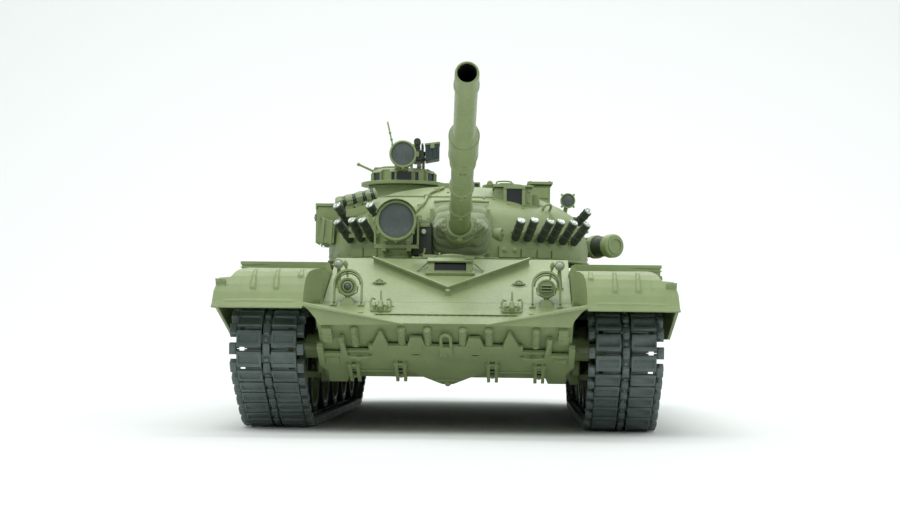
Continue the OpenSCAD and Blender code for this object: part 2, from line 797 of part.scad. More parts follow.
module track(s) {
    groove = tooth_ring_t + 1.2;
    color(TRACK_GREY) on_side(s) difference() {
        side_plate(track_x - track_w / 2, track_x + track_w / 2) difference() {
            polygon(track_loop(track_t));
            polygon(track_loop(0));
        }
        // windows for the sprocket teeth
        for (x = [-tooth_ring_x, tooth_ring_x]) {
            along_x(track_x + x - groove / 2, track_x + x + groove / 2, sprocket_band_r + 7,
                sprocket_y, sprocket_z, 96);
        }
    }
}

function tooth_points(i) =
    let (a = 360 / sprocket_teeth * i)
    [
        [tooth_root_r * cos(a - 9), tooth_root_r * sin(a - 9)],
        [tooth_tip_r * cos(a - 3), tooth_tip_r * sin(a - 3)],
        [tooth_tip_r * cos(a + 3), tooth_tip_r * sin(a + 3)],
        [tooth_root_r * cos(a + 9), tooth_root_r * sin(a + 9)]
    ];

module sprocket(s) {
    rim_t = 2;
    color(PLASTIC_GREEN) on_side(s) translate([0, sprocket_y, sprocket_z]) {
        for (x = [-tooth_ring_x, tooth_ring_x]) {
            translate([track_x + x - tooth_ring_t / 2, 0, 0]) rotate([90, 0, 90])
                linear_extrude(height = tooth_ring_t)
                    polygon([for (i = [0 : sprocket_teeth - 1]) each tooth_points(i)]);
        }
        along_x(track_x - tooth_ring_x - rim_t, track_x + tooth_ring_x + rim_t, 11, 0, 0);
        along_x(track_x + tooth_ring_x + rim_t, track_x + 15.5, 6, 0, 0);
        along_x(41, track_x - tooth_ring_x, shaft_r, 0, 0);
    }
}

// a wheel with two rims and a groove between them, turned about x, with an axle bore
module twin_wheel(r, groove_r, hub_r, x0, x1, groove_w, bore_r) {
    mid = (x0 + x1) / 2;
    translate([x0, 0, 0]) rotate([90, 0, 90]) rotate_extrude($fn = 96) polygon([
        [bore_r, 0], [hub_r, 0], [r * 0.8, 2], [r * 0.82, 0], [r, 0],
        [r, mid - x0 - groove_w / 2], [groove_r, mid - x0 - groove_w / 2],
        [groove_r, mid - x0 + groove_w / 2], [r, mid - x0 + groove_w / 2],
        [r, x1 - x0], [r * 0.82, x1 - x0], [r * 0.78, x1 - x0 - 4], [hub_r, x1 - x0 - 2],
        [hub_r, x1 - x0], [bore_r, x1 - x0]
    ]);
}

module idler(s) {
    color(PLASTIC_GREEN) on_side(s) translate([0, idler_y, idler_z])
        twin_wheel(idler_r, idler_r - 4, 5, track_x - 10, track_x + 10, 6, stub_r + fit);
}

module return_roller(s, i) {
    color(DARK) on_side(s) translate([73, roller_y(i), roller_z(i)]) rotate([90, 0, 90])
        rotate_extrude($fn = ROUND) polygon([
            [roller_stub_r + fit, 0], [roller_r, 0], [roller_r, 8], [roller_stub_r + fit, 8]
        ]);
}

module swing_arm(s, i) {
    arm_l = sqrt(arm_dy * arm_dy + arm_dz * arm_dz);
    color(PLASTIC_GREEN) on_side(s) {
        along_x(shell_side - 4, arm_x + arm_t, shaft_r, pivot_y(i), pivot_z);
        along_x(arm_x, arm_x + arm_t, 5, pivot_y(i), pivot_z);
        along_x(arm_x, arm_x + arm_t, 4.2, wheel_y(i), wheel_z);
        along_x(arm_x, axle_end, axle_r, wheel_y(i), wheel_z);
        translate([arm_x, pivot_y(i), pivot_z]) rotate([-atan(arm_dz / arm_dy), 0, 0])
            translate([0, 0, -3.4]) cube([arm_t, arm_l, 6.8]);
    }
}

module road_wheel(s, i) {
    color(DARK) on_side(s) translate([0, wheel_y(i), wheel_z])
        twin_wheel(wheel_r, wheel_r - 6, 6, track_x - 12, track_x + 12, 5, axle_r + fit);
}

lower_hull();
upper_hull();
mudguards();
fenders();
entrenching_blade();
rear_stores();
headlights();
drive_units();
electronics();
traverse_pinion();
turret_ring();
turret_shell();
turret_bins();
mantlet();
mantlet_cover();
gun_barrel();
elevation_servo();
cupola();
commander_hatch();
gunner_hatch();
driver_hatch();
aa_gun();
smoke_launchers();
searchlight();
for (s = SIDES) {
    track(s);
    sprocket(s);
    idler(s);
    for (i = ROLLERS) {
        return_roller(s, i);
    }
    for (i = WHEELS) {
        swing_arm(s, i);
        road_wheel(s, i);
    }
}
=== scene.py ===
import json
import math
import random

import bmesh
import bpy
from mathutils import Matrix, Vector, noise

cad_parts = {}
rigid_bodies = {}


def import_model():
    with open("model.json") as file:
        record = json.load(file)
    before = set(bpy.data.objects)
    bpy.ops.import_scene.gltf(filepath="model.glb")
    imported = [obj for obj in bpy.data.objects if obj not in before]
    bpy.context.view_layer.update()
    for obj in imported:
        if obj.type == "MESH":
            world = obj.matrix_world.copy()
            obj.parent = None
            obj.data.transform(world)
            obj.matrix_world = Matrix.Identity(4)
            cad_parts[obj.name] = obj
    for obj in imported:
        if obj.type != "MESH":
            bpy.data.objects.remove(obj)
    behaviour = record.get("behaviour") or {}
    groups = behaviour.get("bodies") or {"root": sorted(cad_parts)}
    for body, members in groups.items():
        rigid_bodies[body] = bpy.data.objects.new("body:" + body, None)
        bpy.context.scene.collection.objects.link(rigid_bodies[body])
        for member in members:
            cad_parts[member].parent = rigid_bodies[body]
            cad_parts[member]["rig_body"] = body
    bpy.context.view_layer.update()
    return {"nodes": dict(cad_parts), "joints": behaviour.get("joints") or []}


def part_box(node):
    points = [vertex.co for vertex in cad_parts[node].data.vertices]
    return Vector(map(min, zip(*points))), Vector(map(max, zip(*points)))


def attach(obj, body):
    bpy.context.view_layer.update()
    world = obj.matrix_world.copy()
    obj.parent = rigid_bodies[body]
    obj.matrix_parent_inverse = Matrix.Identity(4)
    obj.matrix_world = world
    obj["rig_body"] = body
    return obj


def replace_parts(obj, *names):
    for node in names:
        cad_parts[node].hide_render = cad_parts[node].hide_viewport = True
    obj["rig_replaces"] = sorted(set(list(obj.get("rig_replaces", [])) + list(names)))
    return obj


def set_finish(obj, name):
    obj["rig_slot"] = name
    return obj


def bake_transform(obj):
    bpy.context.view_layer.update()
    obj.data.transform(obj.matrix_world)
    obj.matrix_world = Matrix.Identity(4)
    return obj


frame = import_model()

# ---------------------------------------------------------------- frames, all in millimetres
JOINTS = {j["name"]: j for j in frame["joints"]}
MM = Matrix.Diagonal((0.001, 0.001, 0.001, 1))
NOSE_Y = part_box("lower_hull")[0].y * 1000
HULL = MM @ Matrix.Translation((0, NOSE_Y, 0))


def joint_point(name):
    """A joint's point in the hull frame: y is measured from the nose edge."""
    x, y, z = (1000 * v for v in JOINTS[name]["pos_m"])
    return Vector((x, y - NOSE_Y, z))


bore = Vector(JOINTS["gun_recoil"]["axis"])
if bore.y > 0:
    bore = -bore
YAW = math.atan2(bore.x, -bore.y)
ELEVATION = math.asin(bore.z)
TURRET_Y = joint_point("turret_traverse").y
TURRET = HULL @ Matrix.Translation((0, TURRET_Y, 0)) @ Matrix.Rotation(YAW, 4, "Z")
trunnion = joint_point("gun_elevation")
TRUNNION_R = Vector((trunnion.x, trunnion.y - TURRET_Y)).length
TRUNNION_Z = trunnion.z
GUN = (
    TURRET
    @ Matrix.Translation((0, -TRUNNION_R, TRUNNION_Z))
    @ Matrix.Rotation(math.pi / 2 - ELEVATION, 4, "X")
)
FLIP = Matrix.Diagonal((-1, 1, 1, 1))
ONE = Matrix.Identity(4)
SIDES = (("l", ONE), ("r", FLIP))


def move(x=0.0, y=0.0, z=0.0):
    return Matrix.Translation((x, y, z))


def turn(deg, axis):
    return Matrix.Rotation(math.radians(deg), 4, axis)


def towards(a, b):
    """A matrix whose z axis runs from a to b, with its origin at a."""
    d = Vector(b) - Vector(a)
    return Matrix.Translation(a) @ d.to_track_quat("Z", "Y").to_matrix().to_4x4()


# ---------------------------------------------------------------- shapes
class Shape:
    """Collects surfaces in millimetres and turns them into one piece."""

    def __init__(self, at=HULL):
        self.bm = bmesh.new()
        self.at = at
        self.mi = 0

    def add(self, points, faces, m=ONE):
        made = [self.bm.verts.new(m @ Vector(p)) for p in points]
        for f in faces:
            self.bm.faces.new([made[i] for i in f]).material_index = self.mi
        return made

    def box(self, x0, x1, y0, y1, z0, z1, m=ONE):
        self.prism([(x0, y0), (x1, y0), (x1, y1), (x0, y1)], z0, z1, "z", m)

    def prism(self, outline, a, b, axis="z", m=ONE):
        """A closed outline pushed from a to b along an axis; x takes (y, z), y takes (x, z)."""
        put = {
            "x": lambda u, v, h: (h, u, v),
            "y": lambda u, v, h: (u, h, v),
            "z": lambda u, v, h: (u, v, h),
        }[axis]
        n = len(outline)
        points = [put(u, v, a) for u, v in outline] + [put(u, v, b) for u, v in outline]
        sides = [(i, (i + 1) % n, n + (i + 1) % n, n + i) for i in range(n)]
        self.add(points, sides + [tuple(range(n))[::-1], tuple(range(n, 2 * n))], m)

    def hull(self, low, high, m=ONE):
        """Two rings of as many points, joined by sides and closed at both ends."""
        n = len(low)
        sides = [(i, (i + 1) % n, n + (i + 1) % n, n + i) for i in range(n)]
        self.add(list(low) + list(high), sides + [tuple(range(n))[::-1], tuple(range(n, 2 * n))], m)

    def lathe(self, outline, n=48, m=ONE, closed=False, change=None):
        """(radius, height) points turned round z. Ends on the axis close themselves."""
        points, rings = [], []
        for k, (r, h) in enumerate(outline):
            if r < 1e-6:
                rings.append([len(points)] * n)
                points.append((0, 0, h))
                continue
            rings.append(list(range(len(points), len(points) + n)))
            for i in range(n):
                a = 2 * math.pi * i / n
                p = (r * math.cos(a), r * math.sin(a), h)
                points.append(change(p, k) if change else p)
        faces = []
        spans = list(zip(rings, rings[1:]))
        if closed:
            spans.append((rings[-1], rings[0]))
        for a, b in spans:
            for i in range(n):
                j = (i + 1) % n
                f = list(dict.fromkeys((a[i], a[j], b[j], b[i])))
                if len(f) > 2:
                    faces.append(f)
        if not closed:
            for ring, r in ((rings[0], outline[0][0]), (rings[-1], outline[-1][0])):
                if r > 1e-6:
                    faces.append(ring)
        self.add(points, faces, m)

    def rod(self, a, b, r, n=20, r2=None, edge=0.0, m=ONE):
        """A round bar from a to b, with chamfered ends where edge is given."""
        length = (Vector(b) - Vector(a)).length
        r2 = r if r2 is None else r2
        if edge:
            outline = [
                (0, 0), (r - edge, 0), (r, edge), (r2, length - edge), (r2 - edge, length), (0, length)
            ]
        else:
            outline = [(0, 0), (r, 0), (r2, length), (0, length)]
        self.lathe(outline, n, m @ towards(a, b))

    def ring(self, centre, axis, outer, inner, t, n=40, m=ONE):
        """A flat ring of thickness t along an axis."""
        c = Vector(centre)
        d = Vector(axis).normalized() * t
        e = min(0.15, t / 4, (outer - inner) / 4)
        self.lathe(
            [(inner, 0), (outer - e, 0), (outer, e), (outer, t - e), (outer - e, t), (inner, t)],
            n,
            m @ towards(c, c + d),
            closed=True,
        )

    def bolt(self, p, axis, r=0.8, h=0.6, sides=6, m=ONE):
        d = Vector(axis).normalized()
        self.lathe(
            [(0, -0.3), (r, -0.3), (r, h * 0.7), (r * 0.75, h), (0, h)], sides,
            m @ towards(p, Vector(p) + d)
        )

    def tube(self, path, r, n=8, m=ONE, closed=False):
        """A round section swept along points."""
        path = [Vector(p) for p in path]
        count = len(path)
        rings, points = [], []
        across = None
        for i, p in enumerate(path):
            a = path[(i - 1) % count] if (closed or i) else p
            b = path[(i + 1) % count] if (closed or i < count - 1) else p
            d = (b - a).normalized()
            if across is None:
                across = d.orthogonal().normalized()
            across = (across - d * across.dot(d)).normalized()
            other = d.cross(across)
            rings.append(list(range(len(points), len(points) + n)))
            for k in range(n):
                t = 2 * math.pi * k / n
                points.append(p + (across * math.cos(t) + other * math.sin(t)) * r)
        pairs = list(zip(rings, rings[1:])) + ([(rings[-1], rings[0])] if closed else [])
        faces = [(a[k], a[(k + 1) % n], b[(k + 1) % n], b[k]) for a, b in pairs for k in range(n)]
        if not closed:
            faces += [rings[0][::-1], rings[-1]]
        self.add(points, faces, m)

    def strap(self, path, width, t, across, m=ONE):
        """A flat band of a width along `across`, and thickness t, swept along points."""
        path = [Vector(p) for p in path]
        side = Vector(across).normalized() * width / 2
        points = []
        for i, p in enumerate(path):
            d = (path[min(i + 1, len(path) - 1)] - path[max(i - 1, 0)]).normalized()
            up = d.cross(side).normalized() * t / 2
            points += [p - side - up, p + side - up, p + side + up, p - side + up]
        faces = [(0, 1, 2, 3)[::-1], tuple(len(points) - 4 + k for k in range(4))]
        for i in range(len(path) - 1):
            a, b = 4 * i, 4 * i + 4
            faces += [(a + k, a + (k + 1) % 4, b + (k + 1) % 4, b + k) for k in range(4)]
        self.add(points, faces, m)

    def sheet(self, rows, m=ONE, closed=False):
        """An open surface through rows of points; closed joins the ends of each row."""
        n = len(rows[0])
        points = [p for row in rows for p in row]
        last = n if closed else n - 1
        faces = [
            (r * n + i, r * n + (i + 1) % n, (r + 1) * n + (i + 1) % n, (r + 1) * n + i)
            for r in range(len(rows) - 1)
            for i in range(last)
        ]
        self.add(points, faces, m)

    def piece(
        self, name, body, slot, *mats, bevel=0.2, segments=2, replaces=(), angle=32, solid=0.0, recalc=True
    ):
        """The finished piece, riding on a body. bevel and solid are in millimetres."""
        if recalc:
            bmesh.ops.recalc_face_normals(self.bm, faces=self.bm.faces)
        if not bevel:
            for e in self.bm.edges:
                if len(e.link_faces) == 2 and e.calc_face_angle(0) > math.radians(angle):
                    e.smooth = False
        self.bm.transform(self.at)
        if self.at.determinant() < 0:
            bmesh.ops.reverse_faces(self.bm, faces=self.bm.faces)
        mesh = bpy.data.meshes.new(name)
        self.bm.to_mesh(mesh)
        self.bm.free()
        mesh.shade_smooth()
        for mat in mats:
            mesh.materials.append(mat)
        o = bpy.data.objects.new(name, mesh)
        bpy.context.scene.collection.objects.link(o)
        if solid:
            s = o.modifiers.new("wall", "SOLIDIFY")
            s.thickness, s.offset = abs(solid) / 1000, -1 if solid > 0 else 1
        if bevel:
            add_bevel(o, bevel, segments, angle)
        if body:
            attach(o, body)
        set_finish(o, slot)
        if replaces:
            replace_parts(o, *replaces)
        return o


def add_bevel(o, width, segments=2, angle=32):
    b = o.modifiers.new("edges", "BEVEL")
    b.width, b.segments, b.limit_method = width / 1000, segments, "ANGLE"
    b.angle_limit = math.radians(angle)
    b.harden_normals = True
    b.use_clamp_overlap = True
    return b


def smooth_step(t):
    t = min(1.0, max(0.0, t))
    return t * t * (3 - 2 * t)


def curve(points, n):
    """A smooth line through points (Catmull-Rom), n steps between two of them."""
    p = [Vector(q) for q in points]
    p = [p[0] * 2 - p[1]] + p + [p[-1] * 2 - p[-2]]
    out = []
    for i in range(1, len(p) - 2):
        for k in range(n):
            t = k / n
            out.append(
                0.5
                * (
                    2 * p[i]
                    + (p[i + 1] - p[i - 1]) * t
                    + (2 * p[i - 1] - 5 * p[i] + 4 * p[i + 1] - p[i + 2]) * t * t
                    + (3 * p[i] - p[i - 1] - 3 * p[i + 1] + p[i + 2]) * t**3
                )
            )
    return out + [p[-2]]


# ---------------------------------------------------------------- materials
class Nodes:
    """A material's node tree, built with short calls."""

    def __init__(self, name):
        self.mat = bpy.data.materials.new(name)
        self.mat.use_nodes = True
        self.tree = self.mat.node_tree
        self.shader = self.tree.nodes["Principled BSDF"]
        self.place = self.node("ShaderNodeTexCoord").outputs["Object"]

    def node(self, kind, inputs=(), **settings):
        n = self.tree.nodes.new(kind)
        for k, v in settings.items():
            setattr(n, k, v)
        for k, v in dict(inputs).items():
            if isinstance(v, bpy.types.NodeSocket):
                self.tree.links.new(v, n.inputs[k])
            else:
                n.inputs[k].default_value = v
        return n

    def noise(self, scale, detail=3.0, rough=0.5, place=None):
        """Even noise, 0 to 1; scale is in features a metre."""
        n = self.node(
            "ShaderNodeTexNoise",
            {"Vector": place or self.place, "Scale": scale, "Detail": detail, "Roughness": rough},
        )
        return n.outputs["Fac"]

    def scaled(self, x, y, z):
        return self.node(
            "ShaderNodeVectorMath", {0: self.place, 1: (x, y, z)}, operation="MULTIPLY"
        ).outputs[0]

    def waves(self, scale, axis, distort=0.0, place=None):
        n = self.node(
            "ShaderNodeTexWave",
            {"Vector": place or self.place, "Scale": scale, "Distortion": distort},
            bands_direction=axis,
        )
        return n.outputs["Fac"]

    def span(self, value, a, b, low, high):
        return self.node(
            "ShaderNodeMapRange", {
                "Value": value, "From Min": a, "From Max": b, "To Min": low, "To Max": high
            }
        ).outputs["Result"]

    def sum(self, a, b, operation="ADD"):
        return self.node("ShaderNodeMath", {0: a, 1: b}, operation=operation).outputs[0]

    def mix(self, share, a, b):
        n = self.node("ShaderNodeMix", data_type="RGBA")
        for k, v in ((0, share), (6, a), (7, b)):
            if isinstance(v, bpy.types.NodeSocket):
                self.tree.links.new(v, n.inputs[k])
            else:
                n.inputs[k].default_value = v if k == 0 else (*v, 1)
        return n.outputs[2]

    def edges(self, radius, low=0.9, high=0.995):
        """1 on outward edges and corners, 0 on flats."""
        bent = self.node("ShaderNodeBevel", {"Radius": radius}, samples=4).outputs["Normal"]
        flat = self.node("ShaderNodeNewGeometry").outputs["Normal"]
        dot = self.node("ShaderNodeVectorMath", {0: bent, 1: flat}, operation="DOT_PRODUCT").outputs["Value"]
        return self.span(dot, low, high, 1.0, 0.0)

    def finish(self, colour, roughness, height=None, depth=0.0001, metallic=0.0, **fixed):
        for socket, value in (("Base Color", colour), ("Roughness", roughness)):
            if isinstance(value, bpy.types.NodeSocket):
                self.tree.links.new(value, self.shader.inputs[socket])
            else:
                self.shader.inputs[socket].default_value = value
        self.shader.inputs["Metallic"].default_value = metallic
        for k, v in fixed.items():
            self.shader.inputs[k.replace("_", " ")].default_value = v
        if height is not None:
            bump = self.node("ShaderNodeBump", {"Height": height, "Distance": depth, "Strength": 1.0})
            self.tree.links.new(bump.outputs[0], self.shader.inputs["Normal"])
        return self.mat


def shade(colour, share):
    return tuple(min(1.0, c * share) for c in colour)


def paint(name, colour, rough=0.42, edge_highlight_and_wear=1.25, cast=0.0):
    """Satin paint over moulded plastic: blotches, fine grain, paler edges (partly wear, partly a painted edge
    highlight), and a cast skin where asked.
    """
    k = Nodes(name)
    blotch = k.noise(38, 4, 0.6)
    streak = k.noise(140, 3, 0.55, k.scaled(1, 1, 0.35))
    grain = k.noise(5200, 2, 0.5)
    base = k.mix(k.span(blotch, 0.32, 0.68, 0.0, 1.0), shade(colour, 0.9), shade(colour, 1.08))
    base = k.mix(k.span(streak, 0.5, 0.75, 0.0, 0.22), base, shade(colour, 0.78))
    # paler edges: a painted edge highlight with some rubbed wear, stronger where the streaks lie
    base = k.mix(
        k.sum(k.edges(0.0005), k.span(streak, 0.3, 0.7, 0.25, 0.6), "MULTIPLY"), base, shade(colour, edge_highlight_and_wear)
    )
    height = k.sum(k.span(grain, 0, 1, 0, 0.25), k.span(k.noise(900, 3), 0, 1, 0, 0.35))
    if cast:
        height = k.sum(height, k.span(k.noise(330, 4, 0.6), 0.25, 0.75, 0, cast))
    roughness = k.span(k.noise(700, 3), 0.3, 0.7, rough - 0.07, rough + 0.12)
    return k.finish(base, roughness, height, 0.00006, Specular_IOR_Level=0.42)


def metal(name, colour, rough=0.35, metallic=0.9, edge_highlight_and_wear=1.5):
    k = Nodes(name)
    brushed = k.noise(900, 4, 0.6, k.scaled(1, 6, 6))
    base = k.mix(k.span(brushed, 0.3, 0.7, 0.0, 1.0), shade(colour, 0.82), shade(colour, 1.1))
    # paler edges: a painted edge highlight with some rubbed wear
    base = k.mix(k.sum(k.edges(0.0003), 0.6, "MULTIPLY"), base, shade(colour, edge_highlight_and_wear))
    return k.finish(base, k.span(brushed, 0.3, 0.7, rough - 0.08, rough + 0.12), brushed, 0.00002, metallic)


def moulding(name, colour, rough=0.55, edge_highlight_and_wear=1.9):
    """Dark moulded plastic with a fine grain and paler edges, partly rubbed wear and partly a painted edge
    highlight.
    """
    k = Nodes(name)
    spots = k.noise(160, 4, 0.6)
    base = k.mix(k.span(spots, 0.3, 0.7, 0.0, 1.0), shade(colour, 0.75), shade(colour, 1.3))
    # paler edges: a painted edge highlight with some rubbed wear
    base = k.mix(k.sum(k.edges(0.00035), 0.5, "MULTIPLY"), base, shade(colour, edge_highlight_and_wear))
    return k.finish(base, k.span(spots, 0.3, 0.7, rough - 0.1, rough + 0.1), k.noise(3600, 3), 0.00004)


def cast_track(name, colour):
    """Graphite-grey cast links: pitted skin, dusty flats, and bright edges that are partly rubbed wear, partly
    a painted highlight.
    """
    k = Nodes(name)
    pits = k.noise(1500, 4, 0.65)
    dust = k.noise(60, 4, 0.6)
    base = k.mix(k.span(dust, 0.35, 0.65, 0.0, 1.0), shade(colour, 0.8), shade(colour, 1.15))
    base = k.mix(k.span(pits, 0.55, 0.7, 0.0, 0.35), base, shade(colour, 0.55))
    # bright edges: a painted highlight along with rubbed wear
    base = k.mix(k.sum(k.edges(0.0004), 0.55, "MULTIPLY"), base, shade(colour, 2.1))
    return k.finish(base, k.span(pits, 0.3, 0.7, 0.42, 0.62), pits, 0.00016, 0.15)


def tyre(name, colour):
    k = Nodes(name)
    dust = k.noise(120, 4, 0.6)
    base = k.mix(k.span(dust, 0.4, 0.7, 0.0, 1.0), colour, shade(colour, 2.0))
    return k.finish(base, k.span(dust, 0.3, 0.7, 0.62, 0.85), k.noise(2200, 4), 0.00012)


def canvas(name, colour):
    """Woven cloth under olive dye: two thread directions, slubs, uneven tone, and painted shade in the low
    points of the weave.
    """
    k = Nodes(name)
    warp, weft = k.waves(640, "X", 0.6), k.waves(640, "Z", 0.6)
    weave = k.sum(warp, weft, "MULTIPLY")
    slub = k.noise(260, 4, 0.6, k.scaled(3, 1, 1))
    base = k.mix(k.span(k.noise(90, 4, 0.6), 0.3, 0.7, 0.0, 1.0), shade(colour, 0.82), shade(colour, 1.12))
    # painted shade: the weave darkens where its bump is lowest, between the threads
    base = k.mix(k.span(weave, 0.0, 0.6, 0.35, 0.0), base, shade(colour, 0.6))
    height = k.sum(weave, k.span(slub, 0, 1, 0, 0.9))
    return k.finish(
        base, k.span(slub, 0.3, 0.7, 0.68, 0.9), height, 0.00009, Sheen_Weight=0.25, Sheen_Roughness=0.5
    )


def lens(name, colour, rough=0.2, ribs=0.0):
    """A lamp glass: moulded vertical ribs under a clear coat, with paler bands painted along the ribs as
    highlights.
    """
    k = Nodes(name)
    haze = k.noise(130, 3, 0.6)
    line = k.waves(ribs or 400, "X", 0.15)
    base = k.mix(k.span(haze, 0.3, 0.7, 0.0, 1.0), shade(colour, 0.85), shade(colour, 1.15))
    # paler bands: a painted highlight along the ribs, and painted reflection streaks where ribs is 0
    base = k.mix(k.span(line, 0.0, 1.0, 0.0, 0.35), base, shade(colour, 1.5))
    roughness = k.span(haze, 0.3, 0.7, rough - 0.05, rough + 0.1)
    return k.finish(base, roughness, line, 0.00008 if ribs else 0.00002, Coat_Weight=0.5, Coat_Roughness=0.08)


OLIVE = (0.238, 0.298, 0.136)
GREEN = paint("green_plastic", OLIVE)
CAST = paint("green_cast_turret", OLIVE, rough=0.44, cast=1.2)
TUBE = paint("green_gun_tube", shade(OLIVE, 0.95), rough=0.4)
PALE = paint("pale_roll", (0.300, 0.355, 0.210), rough=0.6)
CANVAS = canvas("canvas", (0.250, 0.300, 0.165))
TRACK = cast_track("track_graphite", (0.110, 0.142, 0.132))
RUBBER = tyre("tyre_rubber", (0.012, 0.013, 0.013))
STEEL = metal("gear_metal", (0.42, 0.43, 0.44))
CAP = metal("launcher_cap_metal", (0.52, 0.56, 0.52), rough=0.3, metallic=0.55)
BLACK = moulding("black_plastic", (0.012, 0.014, 0.013))
LAUNCHER = moulding("launcher_green_black", (0.030, 0.040, 0.026), edge_highlight_and_wear=2.4)
TEAL = moulding("ammunition_teal", (0.028, 0.048, 0.050), edge_highlight_and_wear=2.2)
DARK_LENS = lens("dark_lens", (0.066, 0.082, 0.080), 0.22, 420)
WINDOW = lens("window_glass", (0.010, 0.013, 0.016), 0.08)
CLEAR = lens("clear_lens", (0.34, 0.38, 0.32), 0.15, 300)

# ---------------------------------------------------------------- tracks
PITCH, PIN_DEPTH, BAND_GAP = 9.4, 2.0, 0.3
TEETH, TOOTH_X = 12, 12.0


track_low, track_high = (1000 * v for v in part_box("track_l"))
TRACK_X, TRACK_W = (track_low.x + track_high.x) / 2, track_high.x - track_low.x
IDLER, DRIVE = joint_point("idler_l_spin"), joint_point("sprocket_l_drive")
WHEELS = [joint_point(f"wheel_l{i}_spin") for i in range(1, 7)]
ROLLERS = [joint_point(f"roller_l{i}_spin") for i in range(1, 4)]
IDLER_R = (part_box("idler_l")[1].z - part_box("idler_l")[0].z) * 500
WHEEL_R = (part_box("road_wheel_l1")[1].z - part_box("road_wheel_l1")[0].z) * 500
ROLLER_R = (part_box("return_roller_l1")[1].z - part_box("return_roller_l1")[0].z) * 500
PITCH_R = PITCH / (2 * math.sin(math.pi / TEETH))
BAND_R = PITCH_R - PIN_DEPTH


def arc(c, r, a0, a1, n):
    return [
        (c.y + r * math.cos(a), c.z + r * math.sin(a))
        for a in (a0 + (a1 - a0) * i / n for i in range(n + 1))
    ]


def track_line(d):
    """The closed band line at distance d outside the wheels, as (y, z), starting below the last wheel."""
    r_i, r_w, r_s = IDLER_R + BAND_GAP + d, WHEEL_R + BAND_GAP + d, BAND_R + d
    first, last = WHEELS[0], WHEELS[-1]

    def slope(a, b):
        return math.atan2(b.z - a.z, b.y - a.y)

    def span(a, b):
        return math.hypot(b.y - a.y, b.z - a.z)

    quarter = math.pi / 2
    front = slope(IDLER, first) - quarter - math.asin((r_w - r_i) / span(IDLER, first))
    rear = slope(last, DRIVE) - quarter + math.asin((r_w - r_s) / span(last, DRIVE))
    top = slope(IDLER, DRIVE) + quarter + math.asin((r_s - r_i) / span(IDLER, DRIVE))
    return (
        arc(last, r_w, -quarter, rear, 30)
        + arc(DRIVE, r_s, rear, top, 160)
        + arc(IDLER, r_i, top, 2 * math.pi + front, 140)
        + arc(first, r_w, front, -quarter, 30)
    )


def pin_points():
    """Pin places round the band, one on each sprocket tooth and an equal distance apart."""
    line = [Vector(p) for p in track_line(PIN_DEPTH)]
    line.append(line[0])
    lengths = [0.0]
    for a, b in zip(line, line[1:]):
        lengths.append(lengths[-1] + (b - a).length)
    total = lengths[-1]

    def at(s):
        s %= total
        low, high = 0, len(lengths) - 1
        while high - low > 1:
            mid = (low + high) // 2
            low, high = (mid, high) if lengths[mid] <= s else (low, mid)
        return line[low].lerp(line[high], (s - lengths[low]) / (lengths[high] - lengths[low]))

    start = min(range(len(line)), key=lambda i: (line[i] - Vector((DRIVE.y + PITCH_R, DRIVE.z))).length)

    def walk(pitch, count):
        s, made = lengths[start], [at(lengths[start])]
        for _ in range(count):
            low, high = s + pitch * 0.9, s + pitch * 1.2
            for _ in range(30):
                mid = (low + high) / 2
                low, high = (mid, high) if (at(mid) - made[-1]).length < pitch else (low, mid)
            s = low
            made.append(at(s))
        return s - lengths[start], made

    count = round(total / (PITCH * 1.004))
    low, high = PITCH * 0.95, PITCH * 1.05
    for _ in range(40):
        mid = (low + high) / 2
        low, high = (mid, high) if walk(mid, count)[0] < total else (low, mid)
    return walk(low, count)[1][:count]


def chamfered(s, x0, x1, v0, v1, h0, h1, c=0.25):
    """A block whose outer face has its corners cut; x across, v along the track, h outwards."""
    low = [(x0, v0, h0), (x1, v0, h0), (x1, v1, h0), (x0, v1, h0)]
    mid = [(x0, v0, h1 - c), (x1, v0, h1 - c), (x1, v1, h1 - c), (x0, v1, h1 - c)]
    top = [(x0 + c, v0 + c, h1), (x1 - c, v0 + c, h1), (x1 - c, v1 - c, h1), (x0 + c, v1 - c, h1)]
    sides = [(a + i, a + (i + 1) % 4, a + 4 + (i + 1) % 4, a + 4 + i) for a in (0, 4) for i in range(4)]
    s.add(low + mid + top, sides + [(3, 2, 1, 0), (8, 9, 10, 11)])


